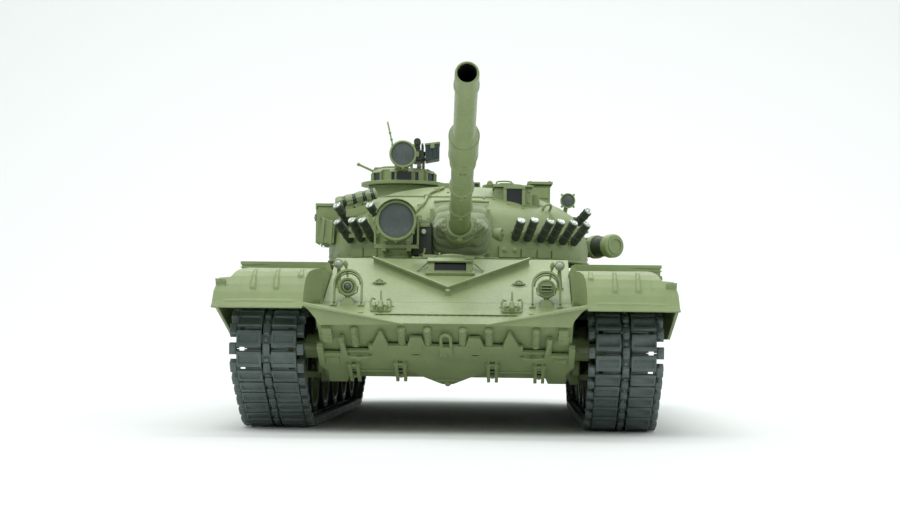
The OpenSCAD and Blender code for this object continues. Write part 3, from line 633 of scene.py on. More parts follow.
def link_shape(s):
    """One link, pin to pin along v: two pads with sunk faces, a bridge with its boss, a guide horn."""
    half = PITCH / 2
    v0, v1, face, sunk = -half + 0.62, half - 0.62, 2.5, 1.75
    for x0, x1 in ((-14.55, -2.5), (2.5, 14.55)):
        o = [(x0, v0), (x1, v0), (x1, v1), (x0, v1)]
        r = [(x0 + 0.3, v0 + 0.3), (x1 - 0.3, v0 + 0.3), (x1 - 0.3, v1 - 0.3), (x0 + 0.3, v1 - 0.3)]
        i = [(x0 + 1.15, v0 + 2.0), (x1 - 0.75, v0 + 2.0), (x1 - 0.75, v1 - 1.95), (x0 + 1.15, v1 - 1.95)]
        b = [(x0 + 1.4, v0 + 2.3), (x1 - 1.0, v0 + 2.3), (x1 - 1.0, v1 - 2.25), (x0 + 1.4, v1 - 2.25)]
        rings = [(o, 0.9), (o, face - 0.3), (r, face), (i, face), (b, sunk)]
        points = [(u, v, h) for ring, h in rings for u, v in ring]
        faces = [
            (a + k, a + (k + 1) % 4, a + 4 + (k + 1) % 4, a + 4 + k)
            for a in (0, 4, 8, 12)
            for k in range(4)
        ]
        s.add(points, faces + [(3, 2, 1, 0), (16, 17, 18, 19)])
        # ribs under the pad, clear of the sprocket teeth
        for u0, u1 in (
            (x0 + 0.2, x0 + 1.0), (x1 - 1.0, x1 - 0.2), ((x0 + x1) / 2 - 1.2, (x0 + x1) / 2 + 1.2)
        ):
            s.box(u0, u1, v0 + 0.4, v1 - 0.4, -1.5, 0.95)
    s.box(-2.7, 2.7, -2.4, 2.4, -1.2, 0.7)
    s.rod((0, 0.5, 0.6), (0, 0.5, 1.7), 1.15, 14, edge=0.25)
    s.rod((0, 0.5, 1.6), (0, 0.5, 1.95), 0.5, 8)
    # guide horn, running in the grooves of the wheels
    s.hull(
        [(-2.0, -2.3, -1.2), (2.0, -2.3, -1.2), (2.0, 2.3, -1.2), (-2.0, 2.3, -1.2)],
        [(-1.0, -1.3, -4.9), (1.0, -1.3, -4.9), (1.0, 1.3, -4.9), (-1.0, 1.3, -4.9)],
    )
    # pin tubes, with gaps where the teeth pass
    for v in (-half + 1.3, half - 1.3):
        for x0, x1 in ((-14.5, -13.3), (-10.7, -2.6), (2.6, 10.7), (13.3, 14.5)):
            s.rod((x0, v, 0), (x1, v, 0), 1.15, 8)


def joint_shape(s):
    """What holds two links together: end connectors with their bolts and the middle knuckle."""
    for x0, x1 in ((-TRACK_W / 2, -14.75), (14.75, TRACK_W / 2)):
        chamfered(s, x0, x1, -2.75, 2.75, -1.9, 2.3, 0.45)
        mid = (x0 + x1) / 2
        s.rod((mid, 0, 2.2), (mid, 0, 2.5), 0.85, 6)
        s.box(x0 + 0.5, x1 - 0.5, -0.3, 0.3, -2.0, -1.8)
    for side in (-1, 1):
        a, b = sorted((side * (TRACK_W / 2 - 0.25), side * (TRACK_W / 2 + 0.0)))
        for v in (-1.3, 1.3):
            s.rod((a, v, 0.1), (b + 0.02 * side, v, 0.1), 0.8, 8)
    outline = [
        (-1.75, -2.3), (-1.2, -2.9), (1.2, -2.9), (1.75, -2.3), (1.75, 2.0), (1.2, 3.0), (-1.2, 3.0),
        (-1.75, 2.0)
    ]
    inner = [(x * 0.84, v * 0.86) for x, v in outline]
    s.hull([(x, v, -1.6) for x, v in outline], [(x, v, 1.95) for x, v in outline])
    s.hull([(x, v, 1.9) for x, v in outline], [(x, v, 2.4) for x, v in inner])
    s.rod((0, 0.4, 2.3), (0, 0.4, 2.55), 0.75, 8)


def along_band(a, b):
    """Puts a link's own frame (x across, v along, h outwards) midway between two pins."""
    d = (b - a).normalized()
    out = Vector((d.y, -d.x))
    mid = (a + b) / 2
    m = Matrix(((1, 0, 0, 0), (0, d.x, out.x, mid.x), (0, d.y, out.y, mid.y), (0, 0, 0, 1)))
    return m


def repeated(make, places, s):
    """Copies one template shape to many places."""
    t = Shape()
    make(t)
    bmesh.ops.recalc_face_normals(t.bm, faces=t.bm.faces)
    t.bm.verts.index_update()
    points = [v.co.copy() for v in t.bm.verts]
    faces = [[v.index for v in f.verts] for f in t.bm.faces]
    t.bm.free()
    for m in places:
        s.add(points, faces, m)


pins = pin_points()
for side, flip in SIDES:
    s = Shape()
    links, joints = [], []
    for k, p in enumerate(pins):
        q, before = pins[(k + 1) % len(pins)], pins[k - 1]
        m = along_band(p, q)
        links.append(flip @ move(TRACK_X) @ m)
        j = along_band(p + (before - p).normalized() * 3, p + (q - p).normalized() * 3)
        joints.append(flip @ move(TRACK_X) @ j)
    repeated(link_shape, links, s)
    repeated(joint_shape, joints, s)
    s.piece(
        f"track_links_{side}", "hull", "track_graphite", TRACK, bevel=0, recalc=side == "r",
        replaces=(f"track_{side}",)
    )


# ---------------------------------------------------------------- wheels
def rim_bolts(s, r, h, count, size, axis_m):
    for k in range(count):
        a = 2 * math.pi * k / count
        s.bolt((r * math.cos(a), r * math.sin(a), h), (0, 0, 1), size, size * 0.8, 6, axis_m)


def disc(s, m, out_r, hub_r, scallops=8):
    """A pressed wheel face with scallops and a bolted hub cap, facing +z of m."""
    n = 96

    def pressed(p, k):
        x, y, z = p
        r, a = math.hypot(x, y), math.atan2(y, x)
        share = smooth_step((r - hub_r) / 3) * smooth_step((out_r - 1.2 - r) / 3)
        return (x, y, z - 1.0 * share * (0.5 + 0.5 * math.cos(scallops * a)) ** 0.6)

    radii = [out_r - (out_r - hub_r) * t / 10 for t in range(11)]
    outline = [(out_r, 0.0)] + [
        (r, 0.4 + 1.7 * smooth_step((out_r - r) / (out_r - hub_r)))
        for r in radii[1:]
    ]
    outline += [(hub_r - 0.2, 3.4), (hub_r - 0.8, 4.0), (hub_r * 0.55, 4.1), (hub_r * 0.5, 4.6), (0, 4.7)]
    s.lathe(outline, n, m, change=pressed)
    rim_bolts(s, hub_r * 0.76, 4.05, 6, 0.55, m)


def wheel_mesh(name, radius, out_x, groove, tyre_t, hub_r):
    """Twin wheel about x with its face towards +x: two tyres, two rims, dished discs."""
    s = Shape(MM)
    across = turn(90, "Y")
    half = groove / 2
    for sign in (1, -1):
        m = across @ (ONE if sign > 0 else Matrix.Diagonal((1, 1, -1, 1)))
        s.mi = 1
        r, w = radius, out_x
        s.lathe(
            [(r - tyre_t, half), (r - 0.7, half), (r - 0.15, half + 0.5), (r, half + 1.4), (r, w - 1.4),
             (r - 0.15, w - 0.5), (r - 0.7, w), (r - tyre_t + 0.3, w), (r - tyre_t, w - 0.4)],
            96, m, closed=True,
        )
        s.mi = 0
        e = r - tyre_t
        s.lathe(
            [(e - 1.6, half), (e, half + 0.1), (e, w - 0.2), (e - 0.5, w + 0.1), (e - 1.1, w - 0.1),
             (e - 1.4, w - 1.6), (e - 1.6, w - 3.0)],
            96, m, closed=True,
        )
        disc(s, m @ move(z=w - 4.9 if sign > 0 else w - 5.5), e - 1.2, hub_r)
    s.lathe([(hub_r, -out_x + 3), (hub_r, out_x - 3)], 32, across)
    if sign:
        bmesh.ops.recalc_face_normals(s.bm, faces=s.bm.faces)
    return s


def place_spinner(shape, name, at, flip_side, body, slot, mats, replaces, bevel=0.12):
    o = shape.piece(name, None, slot, *mats, bevel=bevel, segments=1, angle=40)
    put_spinner(o, at, flip_side, body)
    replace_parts(o, replaces)
    return o


def put_spinner(o, at, side, body):
    sign = 1 if side == "l" else -1
    o.matrix_world = Matrix.Translation(HULL @ Vector((sign * at.x, at.y, at.z))) @ (
        ONE if side == "l" else turn(180, "Z")
    )
    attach(o, body)


def copies(first, name, at, side, body, slot, node):
    o = first.copy()
    o.name = name
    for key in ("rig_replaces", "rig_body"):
        if key in o:
            del o[key]
    o.parent = None
    bpy.context.scene.collection.objects.link(o)
    put_spinner(o, at, side, body)
    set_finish(o, slot)
    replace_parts(o, node)
    return o


def on_track(p):
    return Vector((TRACK_X, p.y, p.z))


first = None
for side, _ in SIDES:
    for i, p in enumerate(WHEELS, 1):
        node = f"road_wheel_{side}{i}"
        if first is None:
            shape = wheel_mesh("road_wheel", WHEEL_R, 12.0, 5.2, 3.6, 5.6)
            first = place_spinner(
                shape, "wheel_l1", on_track(p), side, "wheel_l1", "tyre_rubber", (GREEN, RUBBER), node
            )
        else:
            copies(first, f"wheel_{side}{i}", on_track(p), side, f"wheel_{side}{i}", "tyre_rubber", node)

for side, _ in SIDES:
    s = wheel_mesh("idler", IDLER_R, 10.0, 6.4, 1.6, 4.6)
    place_spinner(
        s, f"idler_wheel_{side}", on_track(IDLER), side, f"idler_{side}", "green_plastic", (GREEN, STEEL),
        f"idler_{side}"
    )
    for i, p in enumerate(ROLLERS, 1):
        s = Shape(MM)
        across = turn(90, "Y")
        s.mi = 1
        s.lathe(
            [
                (ROLLER_R - 1.6, -4), (ROLLER_R - 0.5, -4), (ROLLER_R, -3.5), (ROLLER_R, 3.5),
                (ROLLER_R - 0.5, 4), (ROLLER_R - 1.6, 4)
            ],
            48, across, closed=True
        )
        s.mi = 0
        s.lathe(
            [
                (1.7, -3.6), (ROLLER_R - 1.5, -3.8), (ROLLER_R - 1.5, 3.8), (ROLLER_R - 2.1, 3.9),
                (3.6, 3.0), (3.2, 4.6), (0, 4.9)
            ],
            48, across
        )
        rim_bolts(s, 2.3, 4.6, 5, 0.4, across)
        place_spinner(
            s, f"roller_wheel_{side}{i}", Vector((77, p.y, p.z)), side, f"roller_{side}{i}", "tyre_rubber",
            (GREEN, RUBBER), f"return_roller_{side}{i}"
        )

# sprockets: two toothed rings between bolted discs
TOOTH_TIP, TOOTH_ROOT = PITCH_R + 1.1, BAND_R - 0.7


def sprocket_ring():
    """Outline of a toothed ring, (angle, radius) turned into points, teeth rounded."""
    out = []
    for k in range(TEETH):
        a = 2 * math.pi * k / TEETH
        for da, r in (
            (-12.5, TOOTH_ROOT - 0.7), (-9, TOOTH_ROOT), (-5.5, PITCH_R - 0.5), (-3, TOOTH_TIP - 0.3),
            (-1.4, TOOTH_TIP), (1.4, TOOTH_TIP), (3, TOOTH_TIP - 0.3), (5.5, PITCH_R - 0.5),
            (9, TOOTH_ROOT), (12.5, TOOTH_ROOT - 0.7)
        ):
            t = a + math.radians(da)
            out.append((r * math.cos(t), r * math.sin(t)))
    return out


for side, _ in SIDES:
    s = Shape(MM)
    outline = sprocket_ring()
    n = len(outline)
    inner = [(10.2 * y / math.hypot(y, z), 10.2 * z / math.hypot(y, z)) for y, z in outline]
    for x in (-TOOTH_X, TOOTH_X):
        points = [(x + h, y, z) for h in (-0.8, 0.8) for y, z in outline] + [
            (x + h, y, z) for h in (-0.8, 0.8) for y, z in inner]
        faces = []
        for i in range(n):
            j = (i + 1) % n
            faces += [
                (i, j, n + j, n + i), (2 * n + i, 3 * n + i, 3 * n + j, 2 * n + j),
                (i, 2 * n + i, 2 * n + j, j), (n + i, n + j, 3 * n + j, 3 * n + i)
            ]
        s.add(points, faces)
    across = turn(90, "Y")
    s.lathe(
        [
            (10.4, -14), (10.9, -13.5), (10.9, -10), (8.2, -9), (8.2, 9), (10.9, 10), (10.9, 13.5),
            (10.4, 14), (8.6, 13.6), (8.2, 12.4), (6.4, 12.6), (6.2, 15.0), (5.6, 15.5), (0, 15.5)
        ],
        64, across
    )
    rim_bolts(s, 9.6, 13.9, 12, 0.5, across)
    rim_bolts(s, 4.2, 15.4, 6, 0.5, across)
    s.rod((-46, 0, 0), (-9, 0, 0), 3.0, 24)
    place_spinner(
        s, f"drive_sprocket_{side}", on_track(DRIVE), side, f"sprocket_{side}", "green_plastic", (GREEN,),
        f"sprocket_{side}", 0.15
    )

# swing arms: forged levers with their bosses and bolts, axle and torsion shaft
for side, flip in SIDES:
    for i, w in enumerate(WHEELS, 1):
        pivot = joint_point(f"arm_l{i}_swing")
        s = Shape()
        x0, x1 = 61.5, 65.5
        d = Vector((0, w.y - pivot.y, w.z - pivot.z))
        u = d.normalized()
        v = Vector((0, -u.z, u.y))
        rings = []
        for k in range(9):
            t = k / 8
            c = Vector((0, pivot.y, pivot.z)) + d * t
            width = 4.9 - 2.2 * math.sin(math.pi * t) - 0.7 * t
            rings.append((c + v * width, c - v * width))
        low = [(x0, p.y, p.z) for p, _ in rings] + [(x0, q.y, q.z) for _, q in reversed(rings)]
        s.hull(low, [(x1, y, z) for _, y, z in low], flip)
        s.rod((x0, pivot.y, pivot.z), (x1 + 0.5, pivot.y, pivot.z), 5.0, 32, edge=0.5, m=flip)
        s.rod((x0, w.y, w.z), (x1 + 0.6, w.y, w.z), 4.2, 32, edge=0.5, m=flip)
        s.rod((54.5, pivot.y, pivot.z), (x0 + 0.5, pivot.y, pivot.z), 3.0, 24, m=flip)
        s.rod((x1, w.y, w.z), (TRACK_X + 9, w.y, w.z), 2.0, 20, m=flip)
        for k in range(6):
            a = math.tau * k / 6
            s.bolt(
                (x1 + 0.5, pivot.y + 3.4 * math.cos(a), pivot.z + 3.4 * math.sin(a)), (1, 0, 0), 0.5, 0.4,
                6, flip
            )
        s.piece(f"arm_lever_{side}{i}", f"arm_{side}{i}", "green_plastic", GREEN, bevel=0.2,
                replaces=(f"swing_arm_{side}{i}",))

# ---------------------------------------------------------------- CAD nodes that stay
def keep(node, mat, bevel=0.25, segments=2):
    """A CAD node keeps its shape and gets its material, with its edges rounded."""
    o = frame["nodes"][node]
    if o.material_slots:
        for s in o.material_slots:
            s.material = mat
    else:
        o.data.materials.append(mat)
    if bevel:
        w = o.modifiers.new("join", "WELD")
        w.merge_threshold = 0.00001
        add_bevel(o, bevel, segments, 30)
    return o


for node in ("lower_hull", "upper_hull", "fenders", "rear_stores", "driver_hatch"):
    keep(node, GREEN, 0.35)
keep("electronics", BLACK)
keep("drive_units", STEEL)
keep("traverse_pinion", STEEL, 0)

GLACIS = math.radians(22)
TAN_GLACIS = math.tan(GLACIS)


def on_glacis(x, y, up=0.0):
    """A frame on the glacis: x across, y up the slope, z outwards."""
    return move(x, y, 53.5 + y * TAN_GLACIS) @ Matrix.Rotation(GLACIS, 4, "X") @ move(0, 0, up)


# ---------------------------------------------------------------- front mudguards
SIDE_LINE = [
    (62, 79.9), (34, 79.9), (20, 79.7), (12, 79.0), (7, 77.7), (3.4, 75.2), (0.9, 71.5), (-0.8, 67.6),
    (-2.1, 63.6), (-2.5, 62.6), (-3.5, 60.4)
]
FRONT_LINE = [
    (64.5, 96), (97.5, 96), (98, 81.4), (101, 78.5), (103.2, 75.0), (108.6, 74.5), (110.6, 68.2),
    (111.3, 60.4)
]
RIBS = ((69.3, 74.6), (80.7, 68.9), (91.7, 68.9))


def dense(line, step, steps):
    out = [Vector(line[0])]
    for k, (a, b) in enumerate(zip(line, line[1:])):
        a, b = Vector(a), Vector(b)
        n = max(1, int((b - a).length / (steps.get(k, step))))
        out += [a.lerp(b, (i + 1) / n) for i in range(n)]
    return out


def soft_min(a, b, k):
    low, high = min(a, b), max(a, b)
    return low - k * math.log1p(math.exp(-(high - low) / k))


def guard_inner(y):
    return 67.6 - 6.3 * smooth_step((y + 3.6) / 30)


def mudguard(side, m):
    s = Shape(HULL @ m)
    ys = dense(SIDE_LINE, 0.45, {0: 6, 1: 2})
    xs = [64.5 + 33 * i / 92 for i in range(93)] + [
        98, 98.3, 99, 100, 100.8, 101.2, 101.9, 102.6, 103.0, 103.3, 103.9
    ]
    xs += [103.9 + 4.4 * i / 8 for i in range(1, 9)] + [
        108.6, 108.8, 109.2, 109.6, 110.0, 110.4, 110.6, 110.8, 111.0, 111.2, 111.3
    ]

    def front(x):
        for (a, za), (b, zb) in zip(FRONT_LINE, FRONT_LINE[1:]):
            if x <= b:
                return za + (zb - za) * (x - a) / (b - a)
        return FRONT_LINE[-1][1]

    rows = []
    for j, p in enumerate(ys):
        a, b = ys[max(j - 1, 0)], ys[min(j + 1, len(ys) - 1)]
        d = (b - a).normalized()
        out = Vector((-abs(d.y), abs(d.x)))
        row = []
        for x in xs:
            x0 = guard_inner(p.x)
            at = x if x > 98 else x0 + (x - 64.5) * (98 - x0) / 33.5
            z = soft_min(p.y, front(at), 0.3) + 0.2 * (at < 98)
            push = 0.0
            for rx, low in RIBS:
                drop = smooth_step((p.y - low + 0.3) / 1.0) * smooth_step((16 - p.x) / 9)
                width = 1.15 - 0.5 * smooth_step((p.y - low) / (79 - low))
                push += 0.95 * drop * smooth_step((width + 0.45 - abs(at - rx)) / 0.75)
            if 71 < at < 106:
                push += 0.4 * max(
                    0.0, 1 - abs(p.y - 63.4) / 0.5
                ) * smooth_step((at - 71) / 2) * smooth_step((106 - at) / 2)
            # hand-formed sheet, never quite flat
            push += 0.16 * noise.noise(Vector((at * 0.06, p.x * 0.08, p.y * 0.05)))
            row.append((at, p.x + out.x * push, max(60.4, z + out.y * push)))
        rows.append(row)
    s.sheet(rows)
    # inner wall down to the rail, and its foot
    wall = []
    for j, p in enumerate(ys):
        x, y, z = rows[j][0]
        low = 60.4 + 1.6 * smooth_step((y + 3) / 20)
        wall.append([(x - 0.02, y, z + (low - z) * k / 6) for k in range(7)])
    s.sheet(wall)
    bmesh.ops.remove_doubles(s.bm, verts=s.bm.verts, dist=0.05)
    s.piece(
        f"mudguard_{side}", "hull", "green_plastic", GREEN, bevel=0, solid=1.1, replaces=("mudguards",),
        angle=50
    )

    t = Shape(HULL @ m)
    # hinge plate with its four bolts on the outer shoulder
    slope = Vector((0, -2.5, 4.2)).normalized()
    face = Vector((0, -slope.z, slope.y))
    base = Vector((107.2, 0.7, 71.4))
    for dx, dz, w, h in ((0, 0.2, 2.6, 2.3), (0, -2.5, 3.0, 0.28)):
        c = base + slope * dz
        out = Vector((0, -0.86, 0.51))
        low = [
            c + Vector((sx * w, 0, 0)) + slope * (sz * h + sx * 0.25) + out * 0.05
            for sx, sz in ((-1, -1), (1, -1), (1, 1), (-1, 1))
        ]
        t.hull(low, [v + out * (0.45 if h > 1 else 0.75) for v in low])
    for dx, dz in ((-1.6, 1.5), (1.5, 1.6), (-1.8, -1.1), (1.5, -0.9)):
        t.bolt(
            base + Vector((dx, 0, 0)) + slope * dz + Vector((0, -0.86, 0.51)) * 0.4, (0, -0.86, 0.51), 0.55,
            0.45
        )
    # rail on the hull, stay under the guard, and the edge roll along the lip
    t.box(61, 64.6, 20, 62, 62, 65.6)
    t.box(62.4, 63.2, 24, 60, 65.6, 78)
    for y in (30, 44, 56):
        t.bolt((64.6, y, 63.8), (1, 0, 0), 0.8, 0.5)
    lip = [
        (67.8, -3.3, 60.55), (98, -3.35, 60.5), (110.6, -3.3, 60.5), (111.05, -2.6, 60.5),
        (111.1, 12, 60.5), (111.1, 61.5, 60.5)
    ]
    t.tube(lip, 0.55, 8)
    # closing plate behind the guard, folded down at its inner end
    top = [
        (101.5, 62.4, 82.6), (64, 62.0, 84.6), (62.2, 61.8, 84.3), (60.4, 60.8, 80), (59.6, 59.5, 73),
        (59.8, 58.5, 66)
    ]
    for a, b in zip(top, top[1:]):
        a, b = Vector(a), Vector(b)
        drop = Vector((0, 0.2, -3.2)) if a.x > 62.5 else Vector((2.6, 0.6, -0.8))
        low = [a, b, b + drop, a + drop]
        t.hull([v for v in low], [v + Vector((0, 0.8, 0)) for v in low])
    t.piece(f"mudguard_fittings_{side}", "hull", "green_plastic", GREEN, bevel=0.12)


for side, m in SIDES:
    mudguard(side, m)

# ---------------------------------------------------------------- gusset plates and nose
for side, m in SIDES:
    s = Shape(HULL @ m)
    face = [
        (67.6, -3.0, 61.4), (64.8, -2.6, 59.3), (61.6, -1.6, 55.4), (60.2, -1.2, 52.2), (20.5, -0.9, 53.0)
    ]
    flange = [(67.6, -3.0, 61.4), (20.5, -0.9, 53.0)]
    s.hull([Vector(p) for p in face], [Vector(p) + Vector((0, 1.0, 0.25)) for p in face])
    # bright folded edge, wide at the guard and running out to a point
    a0, b0 = Vector(flange[0]), Vector(flange[1])
    s.hull(
        [
            a0 + Vector((0, -0.5, 1.35)), a0 + Vector((0, -0.9, -0.15)), b0 + Vector((-0.8, -0.4, -0.15)),
            b0 + Vector((-0.4, -0.2, 0.25))
        ],
        [
            a0 + Vector((0, 2.6, 1.9)), a0 + Vector((0, 1.8, 0.3)), b0 + Vector((-0.8, 0.6, 0.0)),
            b0 + Vector((-0.4, 0.8, 0.35))
        ],
    )
    # shelf from the folded edge back to the glacis
    s.hull(
        [
            Vector((67.6, -2.2, 62.4)), Vector((67.6, -2.2, 61.6)), Vector((21, -0.4, 52.8)),
            Vector((21, -0.4, 53.4))
        ],
        [
            Vector((61.5, 22, 62.8)), Vector((61.5, 22, 62.0)), Vector((24, 1.5, 53.4)),
            Vector((24, 1.5, 54.1))
        ],
    )
    s.piece(f"gusset_plate_{side}", "hull", "green_plastic", GREEN, bevel=0.12)

nose = Shape(HULL)
random.seed(5)
# weld bead along the joint of the glacis with the nose plate
bead = [(x, 10.4 + 0.25 * math.sin(x * 1.7), 53.5 + 10.4 * TAN_GLACIS + 0.15) for x in range(-34, 35)]
rings = []
for i, (x, y, z) in enumerate(bead):
    for k in range(3):
        u = x + k / 3
        r = 0.75 + 0.22 * math.sin(u * 5.2 + math.sin(u * 1.3)) + 0.12 * random.uniform(-1, 1)
        rings.append(
            [
                (u, y + 1.15 * r * math.cos(a), z + 0.55 * r * math.sin(a))
                for a in [math.pi * t / 6 for t in range(7)]
            ]
        )
nose.sheet(rings)
# round boss below the point of the splash guard
at = on_glacis(0, 35)
nose.lathe([(0, 3.2), (1.0, 3.2), (1.35, 2.9), (1.45, 0.4), (2.1, -0.2)], 20, at)
nose.piece("nose_weld_and_boss", "hull", "green_plastic", CAST, bevel=0)

# splash guard: a thin folded plate over the CAD one, with a gutter edge
guard = Shape(HULL)
for sx in (-1, 1):
    a = Vector((0, 36.6, 53.5 + 36.6 * TAN_GLACIS))
    b = Vector((sx * 41, 77.4, 53.5 + 77.4 * TAN_GLACIS))
    up, back = Vector((0, -0.55, 0.85)), Vector((0, 1.7, 0.69))
    low = [a + up * 2.9, b + up * 2.9, b + up * 4.3, a + up * 4.3]
    guard.hull(low, [v + back * 0.9 for v in low])
    for k in (0.2, 0.5, 0.8):
        c = a.lerp(b, k)
        guard.hull(
            [c + back * 0.9, c + back * 0.9 + up * 3.2, c + back * 3.4],
            [v + Vector((0.9, 0, 0)) for v in (c + back * 0.9, c + back * 0.9 + up * 3.2, c + back * 3.4)],
        )
guard.piece("splash_guard_edge", "hull", "green_plastic", GREEN, bevel=0.12)

# driver's periscope housing with its window, flaps and washer line
scope = Shape(HULL)
scope.prism([(63, 78.4), (70, 81.6), (70, 87.9), (67.4, 87.9), (65.2, 86.4)], -11.5, -8.2, "x")
scope.prism([(63, 78.4), (70, 81.6), (70, 87.9), (67.4, 87.9), (65.2, 86.4)], 8.2, 11.5, "x")
scope.prism([(64.2, 85.3), (68.6, 87.0), (68.6, 87.9), (63.6, 86.1)], -11.9, 11.9, "x")
scope.prism([(61.8, 78.6), (66.5, 80.6), (66.5, 81.6), (61.4, 79.8)], -12.6, 12.6, "x")
scope.box(-14.6, -7.6, 70, 73.4, 87.9, 89.5)
scope.box(7.4, 12.2, 65.6, 68.4, 87.0, 88.9)
scope.box(-20.5, -1.0, 73.6, 76, 87.7, 88.5)
for x in (-19.6, -16.2):
    scope.bolt((x, 74.6, 88.3), (0, 0, 1), 0.6, 0.5)
scope.rod((-17, 66.5, 81), (-12, 73, 85.4), 0.4, 10)
scope.rod((17, 66.5, 81), (12, 73, 85.4), 0.4, 10)
scope.piece("driver_periscope_housing", "hull", "green_plastic", GREEN, bevel=0.15)
glass = Shape(HULL)
glass.prism([(65.6, 81.2), (69, 82.6), (69, 86.9), (66.6, 86.2)], -8.2, 8.2, "x")
glass.piece("driver_periscope_window", "hull", "lamp_glass", WINDOW, bevel=0.1)

# ---------------------------------------------------------------- hooks
for side, m in SIDES:
    s = Shape(HULL @ m)
    # upper lashing hook: a loop in a crescent recess, whose floor is a black disc, painted shade inside the
    # recess
    at = on_glacis(35.2, 50)
    s.mi = 1
    s.lathe([(0, 0.05), (3.4, 0.05), (3.9, 0.2), (4.1, -0.2)], 28, at @ Matrix.Diagonal((0.95, 0.72, 1, 1)))
    s.mi = 0
    s.ring((0, 0, -0.4), (0, 0, 1), 4.5, 3.7, 0.65, 28, at @ Matrix.Diagonal((0.95, 0.74, 1, 1)))
    s.tube(
        [
            Vector((-1.7, -0.6, 0.1)), Vector((-1.5, 0.3, 1.5)), Vector((0, 0.6, 2.1)),
            Vector((1.5, 0.3, 1.5)), Vector((1.7, -0.6, 0.1))
        ],
        0.55, 8, at
    )
    s.box(-2.6, 2.6, -0.7, 0.3, -0.1, 0.7, at)
    # tow hook: two ears, a tongue and a latch that stands up between them
    at = on_glacis(31.8, 16.4)
    s.prism(
        [(-4.6, -3.4), (4.6, -3.4), (5.2, -0.6), (4.2, 2.6), (-4.2, 2.6), (-5.2, -0.6)], -0.3, 0.9, "z", at
    )
    for sx in (-1, 1):
        s.prism(
            [(-2.8, 0.8), (1.9, 0.8), (1.2, 3.4), (-0.4, 4.2), (-2.4, 3.2)], sx * 3.0 - 0.6, sx * 3.0 + 0.6,
            "x", at
        )
        s.rod((sx * 3.9, -1.0, 0.4), (sx * 5.1, 2.2, 2.0), 0.5, 10, m=at)
    s.tube(
        [
            at @ Vector(p)
            for p in ((0, -3.0, 0.6), (0, -3.2, 2.6), (0, -1.0, 4.0), (0, 1.2, 3.4), (0, 1.8, 1.6))
        ],
        1.25, 12
    )
    s.rod((-3.9, -0.6, 2.4), (3.9, -0.6, 2.4), 0.65, 12, edge=0.15, m=at)
    s.lathe(
        [(0, 3.3), (0.9, 3.1), (1.5, 2.3), (1.6, 1.0), (1.2, 0.4)], 16,
        at @ move(0, -2.2, 0.8) @ turn(12, "X")
    )
    s.rod((0, 1.6, 1.0), (0.1, 6.2, 7.4), 0.75, 10, 0.4, m=at)
    s.tube(
        [at @ Vector(p) for p in ((-4.6, 0.6, 0.6), (-5.0, 2.6, 2.6), (-4.2, 4.4, 4.0), (-2.6, 4.2, 3.4))],
        0.6, 8
    )
    s.tube(
        [at @ Vector(p) for p in ((4.6, 0.6, 0.6), (5.2, 2.8, 2.8), (4.4, 4.8, 4.2), (2.8, 4.4, 3.6))], 0.6,
        8
    )
    for x, y in ((-4.1, -2.6), (4.1, -2.6), (-3.4, 1.9), (3.4, 1.9)):
        s.bolt((x, y, 0.9), (0, 0, 1), 0.45, 0.35, m=at)
    # weld patches and small pads beside the hook
    for x, y, w in ((26.5, 20.5, 0.9), (41.2, 12.5, 1.2)):
        s.box(-w, w, -0.5, 0.5, -0.2, 0.35, on_glacis(x, y))
    s.piece(f"tow_hooks_{side}", "hull", "green_plastic", GREEN, BLACK, bevel=0.1)


